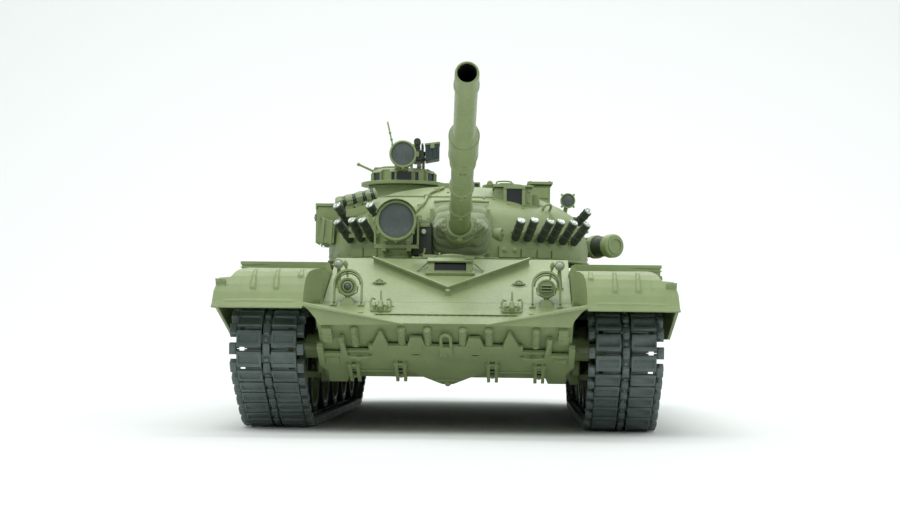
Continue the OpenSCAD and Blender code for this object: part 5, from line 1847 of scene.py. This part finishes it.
# slanted mounting plates
plate(
    mounts,
    [
        (-60.4, 129, 112.7), (-60.4, 129, 116.3), (-49.9, 128, 119.2), (-47.5, 127.6, 116.0),
        (-54.4, 128.6, 113.4)
    ],
    1.2
)
plate(
    mounts, [(-47.8, 118.6, 113.6), (-45.6, 117.6, 113.8), (-41.2, 117.4, 103.0), (-43.6, 118.4, 102.2)],
    0.9
)
plate(
    mounts, [(-62.0, 137.5, 103.6), (-43.0, 122.6, 103.2), (-43.0, 122.6, 101.2), (-62.0, 137.5, 101.6)],
    1.0
)
for p in ((-55.5, 131.5, 112.2), (-50.5, 127.8, 113.4)):
    mounts.tube(
        curve(
            [
                p, Vector(p) + Vector((0, -1.5, -1.4)), Vector(p) + Vector((1.2, -1.6, -2.8)),
                Vector(p) + Vector((2.4, -0.8, -2.0))
            ],
            4
        ),
        0.5, 8
    )
arc = [
    (76.6 * math.sin(math.radians(a)), TURRET_Y - 76.6 * math.cos(math.radians(a)), 102.6)
    for a in range(24, 58, 3)
]
mounts.strap(arc, 2.0, 0.9, (0, 0, 1))
plate(mounts, [(51.4, 121.8, 111.2), (55.2, 124.2, 111.2), (51.8, 122.2, 115.4)], 0.8)
plate(mounts, [(66.0, 152.6, 113.2), (71.0, 160.0, 113.2), (71.0, 160.0, 111.4), (66.0, 152.6, 111.4)], 0.9)
mounts.piece("smoke_launcher_brackets", "turret", "green_plastic", GREEN, bevel=0.12)

# ---------------------------------------------------------------- rolled cover, boxes, snorkel
ROLL_A = Vector((-70.0, -37.6, 121.6))
ROLL_B = Vector((-46.6, -38.4, 127.6))
m = towards(ROLL_A, ROLL_B)
n = (ROLL_B - ROLL_A).length
line = [(0, -0.4)]
STRAPS = (0.22, 0.46, 0.70, 0.90)
for k in range(57):
    t = k / 56
    pinch = min(1.0, min(abs(t - a) for a in STRAPS) / 0.07)
    end = math.sqrt(max(0.0, 1 - (max(0.0, abs(t - 0.5) - 0.43) / 0.075) ** 2))
    line.append((max(0.3, (2.35 + 0.85 * smooth_step(pinch)) * end), t * n))
line.append((0, n + 0.3))


def roll_skin(p, k):
    """Turns of cloth: a spiral lip, puckers beside the straps, and a little sag."""
    a = math.atan2(p[1], p[0])
    t = p[2] / n
    r = math.hypot(p[0], p[1])
    near = max(0.0, 1 - min(abs(t - b) for b in STRAPS) / 0.13)
    r += 0.22 * math.sin(11 * a + 9 * t) * near + 0.3 * noise.noise(
        Vector((2 * math.cos(a), 2 * math.sin(a), 7 * t))
    )
    r += 0.35 * smooth_step((math.sin(a - 0.9) - 0.55) / 0.2) * (r > 1.5)
    return (r * math.cos(a), r * math.sin(a), p[2])


s = Shape(TURRET)
s.lathe(line, 48, m, change=roll_skin)
roll = s.piece("rolled_cover", "turret", "canvas", PALE, bevel=0, angle=180, replaces=("turret_bins",))
s = Shape(TURRET)
for t in STRAPS:
    for dt in (-0.6, 0.6):
        s.lathe(
            [
                (2.5, t * n + dt - 0.45), (3.05, t * n + dt - 0.45), (3.15, t * n + dt),
                (3.05, t * n + dt + 0.45), (2.5, t * n + dt + 0.45)
            ],
            36, m, closed=True
        )
s.piece("rolled_cover_straps", "turret", "black_plastic", LAUNCHER, bevel=0)
s = Shape(TURRET)
for t in (0.34, 0.58, 0.80):
    p = ROLL_A.lerp(ROLL_B, t)
    r = math.hypot(p.x, p.y)
    s.box(p.x - 2.2, p.x + 2.2, p.y - 1.4, p.y + 3.6, dome_z(min(75, r)) - 1.0, p.z - 2.2)
s.piece("rolled_cover_rack", "turret", "green_plastic", GREEN, bevel=0.15)

s = Shape(TURRET)
s.box(-81.8, -66, -22, 48, 101, 121.4)
s.box(-66.5, -58, -18, 44, 103, 121.4)
m = turn(18, "Z")
s.box(-42, 34, 66, 98, 97, 114.6, m)
s.box(-36, 28, 58, 67, 99, 114.6, m)
s.piece("stowage_boxes", "turret", "green_plastic", GREEN, bevel=1.0, segments=3)
s = Shape(TURRET)
s.box(-82.4, -59, -22.6, 48.6, 121.2, 122.8)
s.box(-82.4, -81.6, -22.6, 48.6, 119.2, 121.4)
s.box(-42.6, 34.6, 60, 98.6, 114.4, 116.0, m)
s.box(-42.6, 34.6, 97.8, 98.6, 112.2, 114.6, m)
for y in (-10, 13, 36):
    s.strap([(-66, y, 123.2), (-82.7, y, 123.2), (-82.8, y, 100.6), (-76, y, 100.4)], 3.0, 0.5, (0, 1, 0))
    s.box(-83.7, -82.7, y - 2.2, y + 2.2, 113.4, 117.2)
    s.bolt((-83.7, y, 115.3), (-1, 0, 0), 0.7, 0.4)
for x in (-26, -4, 18):
    s.strap(
        [m @ Vector(p) for p in ((x, 62, 116.4), (x, 98.9, 116.4), (x, 99.0, 97), (x, 92, 96.8))], 3.0, 0.5,
        m.to_3x3() @ Vector((1, 0, 0))
    )
    s.box(x - 2.2, x + 2.2, 98.9, 99.9, 107, 110.8, m)
# satchel hung on the box's front
s.hull(
    [(-81.0, -28.5, 99.4), (-71.4, -28.5, 99.0), (-71.0, -22.2, 99.0), (-81.4, -22.2, 99.4)],
    [(-77.4, -26.5, 113.8), (-71.0, -26.5, 112.0), (-70.6, -22.2, 112.4), (-77.8, -22.2, 114.4)],
)
s.hull(
    [(-81.6, -29.1, 99.9), (-71.2, -29.1, 99.5), (-71.0, -22.0, 99.5), (-81.8, -22.0, 99.9)],
    [(-80.9, -29.0, 103.0), (-71.2, -29.0, 102.5), (-71.0, -22.0, 102.5), (-81.1, -22.0, 103.0)],
)
s.strap(
    [(-78.8, -22, 115.0), (-77.2, -27.4, 113.6), (-78.0, -29.3, 103.6), (-78.4, -29.3, 99.2)], 1.6, 0.4,
    (1, 0, 0)
)
s.strap(
    [(-73.2, -22, 113.4), (-72.8, -27.4, 112.2), (-73.2, -29.3, 103.0), (-73.4, -29.3, 98.8)], 1.6, 0.4,
    (1, 0, 0)
)
s.piece("stowage_box_lids", "turret", "green_plastic", GREEN, bevel=0.18)

SNORKEL = move(93, 22, 102.5) @ turn(32, "Z") @ turn(-90, "X")
s = Shape(TURRET)
s.lathe(
    [(0, -1.6), (4.6, -1.8), (6.0, -1.9), (6.9, -1.4), (7.1, -0.6), (7.1, 3.4), (6.9, 4.0), (6.3, 4.2)], 56,
    SNORKEL
)
s.ring((0, 0, -2.5), (0, 0, 1), 5.0, 4.3, 1.0, 48, SNORKEL)
for a in range(0, 360, 60):
    s.bolt(
        SNORKEL @ Vector((5.9 * math.cos(math.radians(a)), 5.9 * math.sin(math.radians(a)), -1.8)),
        SNORKEL.to_3x3() @ Vector((0, 0, -1)), 0.5, 0.35
    )
for d in (15, 51):
    s.ring((0, 0, d), (0, 0, 1), 7.1, 6.0, 4.0, 48, SNORKEL)
    s.box(-19, -6.2, -3.4, 3.4, d + 0.6, d + 3.4, SNORKEL)
    s.box(5.8, 8.8, -1.8, 1.8, d + 0.4, d + 3.6, SNORKEL)
    s.bolt(SNORKEL @ Vector((7.4, -1.8, d + 2)), SNORKEL.to_3x3() @ Vector((0, -1, 0)), 0.6, 0.5)
s.lathe([(6.2, 69.4), (6.9, 69.8), (6.9, 72.2), (6.2, 72.8), (0, 73.0)], 48, SNORKEL)
s.piece("snorkel_ends", "turret", "green_plastic", GREEN, bevel=0.12)
s = Shape(TURRET)
s.lathe([(6.1, 3.9), (6.15, 4.4), (6.15, 70), (6.0, 70.4)], 56, SNORKEL)
s.piece("snorkel_tube", "turret", "launcher_black", LAUNCHER, bevel=0)

# ---------------------------------------------------------------- cupola
CUP = TURRET @ move(-33.3, 25, 0)
s = Shape(CUP)
WIN = ((-54, 6.6), (-17, 2.2), (2, 8.8), (25, 2.2), (58, 7.0), (112, 7.0), (180, 7.0), (-112, 7.0))
for a, w in WIN:
    m = turn(a, "Z")
    if a != 180:
        s.hull(
            [
                (-w / 2 - 1.2, -19.9, 144.2), (w / 2 + 1.2, -19.9, 144.2), (w / 2 + 1.2, -14.6, 144.2),
                (-w / 2 - 1.2, -14.6, 144.2)
            ],
            [
                (-w / 2 - 1.2, -18.6, 145.7), (w / 2 + 1.2, -18.6, 145.7), (w / 2 + 1.0, -14.4, 147.0),
                (-w / 2 - 1.0, -14.4, 147.0)
            ],
            m,
        )
        for x in (-w / 2 - 1.1, w / 2):
            s.box(x, x + 1.1, -19.6, -16, 138.4, 144.4, m)
        s.box(-w / 2 - 1.1, w / 2 + 1.1, -19.6, -16, 138.3, 139.3, m)
s.lathe(
    [(18.3, 145.2), (18.2, 145.9), (16.0, 146.9), (15.2, 146.9), (15.0, 146.5), (15.0, 145.4)], 96,
    closed=True
)
s.lathe([(24.2, 138.2), (25.4, 138.2), (25.5, 138.7), (25.2, 138.9), (24.2, 138.9)], 120, closed=True)
for k in range(16):
    a = math.radians(22.5 * k + 8)
    s.bolt((22.2 * math.cos(a), 22.2 * math.sin(a), 138.3), (0, 0, 1), 0.7, 0.5)
for k in range(10):
    a = math.radians(36 * k + 50)
    s.bolt((15.7 * math.cos(a), 15.7 * math.sin(a), 146.9), (0, 0, 1), 0.5, 0.35)
# handles on the ring
for a in (150, 205):
    m = turn(a, "Z")
    s.tube(
        curve(
            [
                m @ Vector(p)
                for p in (
                    (-3.4, -23.8, 138.8), (-3.2, -23.8, 141.6), (0, -24.0, 142.2), (3.2, -23.8, 141.6),
                    (3.4, -23.8, 138.8)
                )
            ],
            4
        ),
        0.55, 8
    )
s.piece("cupola_fittings", "cupola", "green_plastic", GREEN, bevel=0.15)
s = Shape(CUP)
for a, w in WIN:
    if a != 180:
        s.box(-w / 2, w / 2, -18.9, -17.6, 139.3, 144.3, turn(a, "Z"))
s.piece("cupola_windows", "cupola", "lamp_glass", WINDOW, bevel=0.1)

# small searchlight, its arm, thin rod
SX, SZ = -33.1, 153.6
EYE = TURRET @ move(SX, 0, SZ) @ turn(90, "X")
s = Shape(EYE)
s.lathe(
    [
        (7.3, 4.0), (7.8, 4.1), (8.0, 4.6), (8.0, 5.9), (7.8, 6.3), (7.0, 6.3), (6.8, 6.0), (6.8, 5.0),
        (7.3, 4.9)
    ],
    64, closed=True
)
s.ring((0, 0, 0.6), (0, 0, 1), 7.9, 7.4, 0.8, 56)
s.lathe([(7.2, -3.9), (7.7, -3.7), (7.7, -3.0), (7.3, -2.9)], 56, closed=True)
s.lathe([(0, -7.0), (2.6, -6.8), (5.0, -5.6), (6.9, -4.0), (0, -3.9)], 48)
for a in (40, 140, 270):
    x, y = 8.2 * math.cos(math.radians(a)), 8.2 * math.sin(math.radians(a))
    s.rod((x, y, 4.0), (x, y, 6.1), 0.7, 10, edge=0.15)
s.box(7.6, 9.2, -1.4, 1.4, 3.4, 5.6)
s.piece("cupola_searchlight", "cupola", "green_plastic", GREEN, bevel=0.12)
s = Shape(EYE)
s.lathe([(0, 4.95), (6.85, 4.95), (6.85, 5.3), (4.8, 5.7), (2.4, 5.95), (0, 6.05)], 56)
s.piece("cupola_searchlight_glass", "cupola", "lamp_glass", DARK_LENS, bevel=0, angle=60)
s = Shape(TURRET)
s.lathe(
    [(0, 145.9), (2.0, 145.9), (2.3, 146.6), (1.6, 147.6), (1.5, 149.6), (1.0, 150.4), (0, 150.5)], 24,
    move(-36.1, 8, 0)
)
s.lathe(
    [(0, 0), (1.5, 0), (1.5, 3.2), (1.1, 3.8), (1.1, 6.2), (0.8, 7.0), (0.75, 10.5), (0.6, 11), (0, 11)],
    14, move(-36.4, 8, 146.4) @ turn(-13, "Y")
)
for h in (14.5, 18.5, 22.5):
    s.lathe(
        [(0.4, h), (0.85, h + 0.2), (0.85, h + 0.9), (0.4, h + 1.1)], 12,
        move(-36.1, 8, 145) @ turn(-13, "Y"), closed=True
    )
# stowed spare barrel behind the drum
s.rod((-47, 47, 145.6), (-53.2, 48, 148.6), 1.0, 14)
s.rod((-53.2, 48, 148.6), (-62.0, 49, 152.6), 0.75, 14, edge=0.15)
s.rod((-61.0, 49, 152.1), (-62.6, 49, 152.9), 1.05, 14, edge=0.2)
s.box(-49, -44, 44, 48, 138.3, 146.4)
s.box(-35.6, -30.6, 4.2, 7.4, 146.2, 150.2)
s.tube(curve([(-29.6, 5, 147.6), (-27.6, 4.6, 149.5), (-27.4, 4.6, 150.6)], 4), 0.7, 8)
s.piece("cupola_rod_and_arm", "cupola", "green_plastic", GREEN, bevel=0.12)

# ---------------------------------------------------------------- machine gun
s = Shape(TURRET)
s.box(-27.5, -22.5, 6.4, 34, 151.4, 157.2)
s.box(-26.9, -23.1, 8, 33, 157.2, 158.6)
s.box(-22.6, -21.2, 8.4, 19.8, 152.0, 160.6)
s.box(-28.0, -22.0, 11.0, 19.6, 151.0, 152.6)
s.box(-26.4, -23.6, 34, 44, 152.4, 157.6)
s.box(-28.1, -27.5, 12, 27, 153.2, 155.4)
for y in (11, 17, 23, 29):
    s.bolt((-27.5, y, 156.1), (-1, 0, 0), 0.45, 0.3)
    s.bolt((-22.5, y, 156.1), (1, 0, 0), 0.45, 0.3)
for z in (153.8, 156.6):
    s.rod((-25, 6.5, z), (-25, 5.8, z), 0.9, 12, edge=0.2)
for x in (-26.2, -23.8):
    s.tube([(x, 6.4, 153.4), (x, 5.6, 154.0), (x, 5.6, 156.8), (x, 6.4, 157.4)], 0.5, 8)
# sight with its eye piece
s.box(-26.7, -23.3, 7.4, 12.6, 158.4, 163.0)
s.rod((-25, 6.6, 162.4), (-25, 13.4, 162.4), 2.1, 20, edge=0.3)
s.rod((-22.6, 9.8, 160.4), (-21.4, 9.8, 160.4), 1.3, 16, edge=0.25)
# barrel in its slotted jacket, with a cone at the muzzle
s.lathe(
    [
        (0, 43), (2.0, 43), (2.0, 44.2), (1.5, 44.8), (1.45, 60), (1.25, 61), (1.15, 84), (1.5, 84.8),
        (1.6, 90.6), (1.3, 91.6), (0.7, 91.8), (0.6, 88), (0, 88)
    ],
    24, move(-25, 0, 155.5) @ turn(-90, "X")
)
for y in range(46, 60, 2):
    s.ring((-25, y, 155.5), (0, 1, 0), 1.75, 1.4, 0.7, 20)
s.rod((-29.8, 24, 153.5), (-19.7, 24, 153.5), 0.95, 12, edge=0.15)
s.piece("machine_gun", "aa_gun", "black_plastic", LAUNCHER, bevel=0.15, replaces=("aa_gun",))
s = Shape(TURRET)
s.hull(
    [(-20.2, 8.2, 151.0), (-11.8, 8.2, 152.6), (-11.8, 26, 152.6), (-20.2, 26, 151.0)],
    [(-20.2, 8.2, 160.4), (-11.8, 8.2, 161.6), (-11.8, 26, 161.6), (-20.2, 26, 160.4)],
)
for x in (-18.4, -16.0, -13.6):
    s.box(x - 0.3, x + 0.3, 7.8, 8.6, 153.6, 160.0)
s.box(-22.6, -20.0, 12, 18, 155, 157)
s.piece("ammunition_box", "aa_gun", "launcher_black", TEAL, bevel=0.4)
s = Shape(TURRET)
s.hull(
    [(-20.5, 7.9, 160.4), (-11.5, 7.9, 161.6), (-11.5, 26.3, 161.6), (-20.5, 26.3, 160.4)],
    [(-20.5, 7.9, 161.5), (-11.5, 7.9, 162.7), (-11.5, 26.3, 162.7), (-20.5, 26.3, 161.5)],
)
s.box(-17.2, -14.8, 7.4, 8.2, 158.6, 161.8)
s.piece("ammunition_box_lid", "aa_gun", "green_plastic", GREEN, bevel=0.15)

# ---------------------------------------------------------------- hatches
s = Shape(TURRET)
s.lathe([(0, 148.1), (3.2, 148.1), (3.4, 148.6), (3.0, 149.0), (0, 149.1)], 40, move(-38.8, 25, 0))
s.tube(
    curve(
        [
            (-35.6, 21.4, 148.0), (-35.4, 21.6, 149.6), (-35.0, 25, 150), (-35.4, 28.4, 149.6),
            (-35.6, 28.6, 148.0)
        ],
        4
    ),
    0.5, 8
)
s.lathe([(7.9, 148.15), (8.5, 148.15), (8.5, 148.5), (7.9, 148.5)], 64, move(-38.8, 25, 0), closed=True)
s.piece("commander_hatch_fittings", "commander_lid", "green_plastic", GREEN, bevel=0.12)
s = Shape(TURRET)
s.lathe([(0, 137.8), (5.2, 137.8), (5.5, 138.3), (5.2, 138.8), (4.6, 139.0), (0, 139.1)], 48, move(27, 22, 0))
s.tube(
    curve(
        [
            (22.6, 14.6, 137.8), (22.8, 14.6, 139.6), (27, 14.2, 140), (31.2, 14.6, 139.6),
            (31.4, 14.6, 137.8)
        ],
        4
    ),
    0.5, 8
)
s.lathe([(11.8, 137.9), (12.5, 137.9), (12.5, 138.3), (11.8, 138.3)], 72, move(27, 24, 0), closed=True)
for a in range(0, 360, 45):
    s.bolt(
        (27 + 9.6 * math.cos(math.radians(a)), 24 + 9.6 * math.sin(math.radians(a)), 137.9), (0, 0, 1), 0.6,
        0.4
    )
s.piece("gunner_hatch_fittings", "gunner_lid", "green_plastic", GREEN, bevel=0.12)
s = Shape(TURRET)
s.lathe(
    [(11.6, 135.2), (14.3, 135.2), (14.4, 135.8), (13.5, 136.0), (13.4, 135.6), (11.7, 135.5)], 72,
    move(27, 24, 0), closed=True
)
for x in (20.4, 33.6):
    s.box(x - 1.4, x + 1.4, 37.4, 42.6, 132.4, 138.2)
    s.bolt((x, 40, 138.2), (0, 0, 1), 0.6, 0.4)
# sensor mast base, aerial base and roof periscope
s.lathe(
    [(0, 131), (4.6, 131), (4.6, 132.8), (3.4, 133.6), (3.0, 136.2), (2.2, 137.2), (0, 137.4)], 32,
    move(4, 46, 0)
)
s.hull(
    [(4, 4, 133), (13, 4, 133), (13, 12, 133), (4, 12, 133)],
    [(4.6, 4.6, 138.4), (12.4, 4.6, 138.4), (12.4, 11, 138.4), (4.6, 11, 138.4)]
)
s.box(-12, -2, -30, -22, 131, 134.6)
for x, y in ((-11, -29), (-3, -29), (-11, -23), (-3, -23)):
    s.bolt((x, y, 134.6), (0, 0, 1), 0.6, 0.4)
s.piece("roof_fittings", "turret", "green_plastic", GREEN, bevel=0.2)
s = Shape(TURRET)
s.box(5.4, 11.6, 3.6, 4.8, 134.4, 137.6)
s.piece("roof_periscope_glass", "turret", "lamp_glass", WINDOW, bevel=0.1)

# ---------------------------------------------------------------- fenders, deck and rear
for side, m in SIDES:
    s = Shape(HULL @ m)
    for i in range(5):
        y0 = 64 + i * 59
        y1 = y0 + 57
        cell = i in (1, 3)
        # lid with a rolled edge, or a pressed tank skin
        if cell:
            for k in range(4):
                y = y0 + 9 + k * 13
                s.box(67, 104.5, y, y + 5, 83.6, 84.7)
            s.lathe([(0, 84.0), (4.2, 84.0), (4.4, 84.8), (3.8, 85.4), (0, 85.5)], 32, move(72.5, y0 + 50, 0))
        else:
            s.box(63.6, 108.1, y0 - 0.4, y1 + 0.4, 83.2, 84.9)
            s.box(63.6, 108.1, y0 - 0.4, y1 + 0.4, 81.6, 82.2)
        for y in (y0 + 13, y1 - 13):
            s.strap([(66, y, 85.1), (108.2, y, 85.1), (108.4, y, 69)], 2.4, 0.45, (0, 1, 0))
            s.box(108.4, 109.3, y - 1.9, y + 1.9, 76.6, 79.8)
            s.bolt((109.3, y, 78.2), (1, 0, 0), 0.6, 0.4)
        for y in (y0 + 4, y1 - 4):
            s.box(63.2, 64.2, y - 2.4, y + 2.4, 78, 82)
        if i == 0:
            for x in (72, 86, 100):
                s.box(x - 1.2, x + 1.2, y0 - 1.1, y0, 69, 81)
    # skirt hinges, stiffeners and bolts
    for k in range(9):
        y = 78 + 38 * k
        s.box(111.6, 112.5, y - 3, y + 3, 61.5, 66.6)
        for dy in (-1.8, 1.8):
            s.bolt((112.5, y + dy, 64.6), (1, 0, 0), 0.55, 0.4)
    for k in range(4):
        y = 118 + 76 * k
        s.box(111.4, 112.5, y - 0.6, y + 0.6, 47.4, 61)
    s.piece(f"fender_fittings_{side}", "hull", "green_plastic", GREEN, bevel=0.15)

s = Shape(HULL)
# engine deck: bolted panels, louvres, filler caps, handles
for x0, x1, y0, y1 in (
    (-56, -20, 290, 330), (-18, 18, 290, 330), (20, 56, 290, 330), (-56, -2, 334, 362), (2, 56, 334, 362)
):
    s.box(x0, x1, y0, y1, 88.6, 89.5)
    for x in (x0 + 2.4, x1 - 2.4):
        for y in (y0 + 2.4, y1 - 2.4):
            s.bolt((x, y, 89.5), (0, 0, 1), 0.8, 0.5)
for x in (-38, 0, 38):
    s.tube(
        curve(
            [
                (x - 4, 310, 89.4), (x - 3.8, 310, 91), (x, 310, 91.5), (x + 3.8, 310, 91),
                (x + 4, 310, 89.4)
            ],
            4
        ),
        0.6, 8
    )
for side in (-1, 1):
    for k in range(9):
        y = 337 + k * 2.7
        s.box(*sorted((side * 8, side * 50)), y, y + 1.3, 89.4, 90.2)
for x in (-45.5, 43.5):
    s.box(x, x + 2, 366, 396, 88.2, 89.6)
for y in (365, 395.5):
    s.box(-45.5, 45.5, y, y + 1.8, 88.2, 89.6)
for k in range(13):
    x = -40 + 80 * k / 12
    s.rod((x, 366, 89.2), (x, 396, 89.2), 0.35, 8)
s.lathe([(0, 88), (4.6, 88), (4.8, 89.6), (4.2, 90.6), (0, 90.8)], 40, move(-48, 278, 0))
s.lathe([(0, 88), (4.6, 88), (4.8, 89.6), (4.2, 90.6), (0, 90.8)], 40, move(48, 278, 0))
# splash rail round the turret ring
s.tube(
    [
        (83 * math.sin(math.radians(a)), TURRET_Y - 83 * math.cos(math.radians(a)), 88.3)
        for a in range(-38, 39, 2)
    ],
    0.8, 8
)
s.piece("deck_fittings", "hull", "green_plastic", GREEN, bevel=0.18)

s = Shape(HULL)
# drums: pressed rings, caps and straps; log with bands; rear plate fittings
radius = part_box("rear_stores")[1].z * 1000 - 71
REAR_Y = 412
for side in (-1, 1):
    for x in (9, 20, 33, 46, 57):
        a, b = side * x, side * (x + 1.6)
        s.ring((min(a, b), REAR_Y + 4 + radius, 71), (1, 0, 0), radius + 0.6, radius - 0.6, 1.6, 56)
    for x in (14, 50):
        a = min(side * x, side * (x + 3))
        s.ring((a, REAR_Y + 4 + radius, 71), (1, 0, 0), radius + 0.95, radius - 0.5, 3.0, 56)
    for x in (6, 60):
        c = Vector((side * x, REAR_Y + 4 + radius, 71))
        s.rod(
            c - Vector((side * 0.2, 0, 0)) * (1 if x > 6 else -1),
            c + Vector((side * 0.7, 0, 0)) * (1 if x > 6 else -1), radius * 0.55, 40, edge=0.2
        )
        s.rod(c, c + Vector((side * 1.1, 0, 0)) * (1 if x > 6 else -1), 2.4, 16, edge=0.3)
for x in (-52, -20, 20, 52):
    s.ring((x - 1.5, REAR_Y + 6.5, 44), (1, 0, 0), 6.1, 5.2, 3.0, 40)
    s.box(x - 1.2, x + 1.2, REAR_Y - 0.2, REAR_Y + 3, 43, 50.5)
for x in (-30, 30):
    s.tube(
        curve(
            [
                (x - 5, REAR_Y + 0.4, 36), (x - 5, REAR_Y + 3, 33.5), (x, REAR_Y + 4, 31.6),
                (x + 5, REAR_Y + 3, 33.5), (x + 5, REAR_Y + 0.4, 36)
            ],
            5
        ),
        1.3, 10
    )
s.piece("rear_fittings", "hull", "green_plastic", GREEN, bevel=0.15)

s = Shape(HULL)
# driver's hatch dome, handle and periscope cover
s.lathe([(0, 89.7), (5.8, 89.7), (6.2, 90.2), (5.4, 90.8), (0, 91.2)], 48, move(0, 93, 0))
s.lathe([(8.4, 89.75), (9.2, 89.75), (9.2, 90.1), (8.4, 90.1)], 64, move(0, 93, 0), closed=True)
s.tube(
    curve([(-6.6, 97, 89.7), (-6.6, 96.6, 91), (-7.2, 93, 91.2), (-6.6, 89.4, 91), (-6.6, 89, 89.7)], 4),
    0.45, 8
)
s.piece("driver_hatch_fittings", "driver_lid", "green_plastic", GREEN, bevel=0.12)

# ---------------------------------------------------------------- stage, light and camera
floor = Shape(MM)
COVE_Y, COVE_R = 700, 1500
profile = [(-4000, 0), (COVE_Y, 0)]
profile += [
    (
        COVE_Y + COVE_R * math.sin(math.radians(a)), COVE_R * (1 - math.cos(math.radians(a)))
    ) for a in range(2, 91, 2)
]
profile.append((COVE_Y + COVE_R, 4000))
floor.sheet([[(x, y, z) for x in (-4500, 0, 4500)] for y, z in profile])
paper = Nodes("pale_paper")
tooth = paper.noise(400, 3)
paper.finish(paper.mix(tooth, (0.69, 0.715, 0.705), (0.71, 0.73, 0.72)), 0.9, tooth, 0.00003)
sweep = floor.piece("floor", None, "green_plastic", paper.mat, bevel=0, recalc=False)
del sweep["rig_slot"]

world = bpy.data.worlds.new("studio")
bpy.context.scene.world = world
world.use_nodes = True
world.node_tree.nodes["Background"].inputs["Color"].default_value = (0.93, 0.985, 0.975, 1)
world.node_tree.nodes["Background"].inputs["Strength"].default_value = 0.52


def lamp(name, place, aim, size, watts, colour=(1, 1, 1)):
    data = bpy.data.lights.new(name, "AREA")
    data.shape, data.size, data.size_y, data.energy, data.color = "RECTANGLE", size[0], size[1], watts, colour
    o = bpy.data.objects.new(name, data)
    bpy.context.scene.collection.objects.link(o)
    o.matrix_world = towards(place, aim) @ turn(180, "X")


lamp("key", (-0.35, -0.75, 1.35), (0, -0.05, 0.08), (1.1, 0.9), 13.5)
lamp("fill", (1.1, -0.7, 0.85), (0, 0, 0.08), (0.9, 0.9), 3.8)
lamp("rim", (0.1, 1.0, 1.3), (0, 0.1, 0.08), (1.4, 0.8), 6)
lamp("backdrop", (0, 0.75, 2.3), (0, 2.0, 0.35), (3.2, 0.8), 38)

bpy.context.scene.view_settings.view_transform = "Standard"
PHOTO_W, FOCAL_PX, SENSOR = 900, 1711.87, 36
cam_data = bpy.data.cameras.new("camera")
cam_data.sensor_width = SENSOR
cam_data.lens = FOCAL_PX / PHOTO_W * SENSOR
cam_data.clip_start, cam_data.clip_end = 0.02, 30
camera = bpy.data.objects.new("camera", cam_data)
bpy.context.scene.collection.objects.link(camera)
look_yaw, look_pitch, look_roll = -0.0371, 0.0469, 0.0114
right = Vector((math.cos(look_yaw), -math.sin(look_yaw), 0))
ahead = Vector(
    (
        math.sin(look_yaw) * math.cos(look_pitch), math.cos(look_yaw) * math.cos(look_pitch),
        math.sin(look_pitch)
    )
)
above = right.cross(ahead)
across = right * math.cos(look_roll) + above * math.sin(look_roll)
upward = above * math.cos(look_roll) - right * math.sin(look_roll)
camera.matrix_world = Matrix.Translation(HULL @ Vector((32.358, -813.266, 48.704))) @ Matrix(
    (across, upward, -ahead)
).transposed().to_4x4()
bpy.context.scene.camera = camera
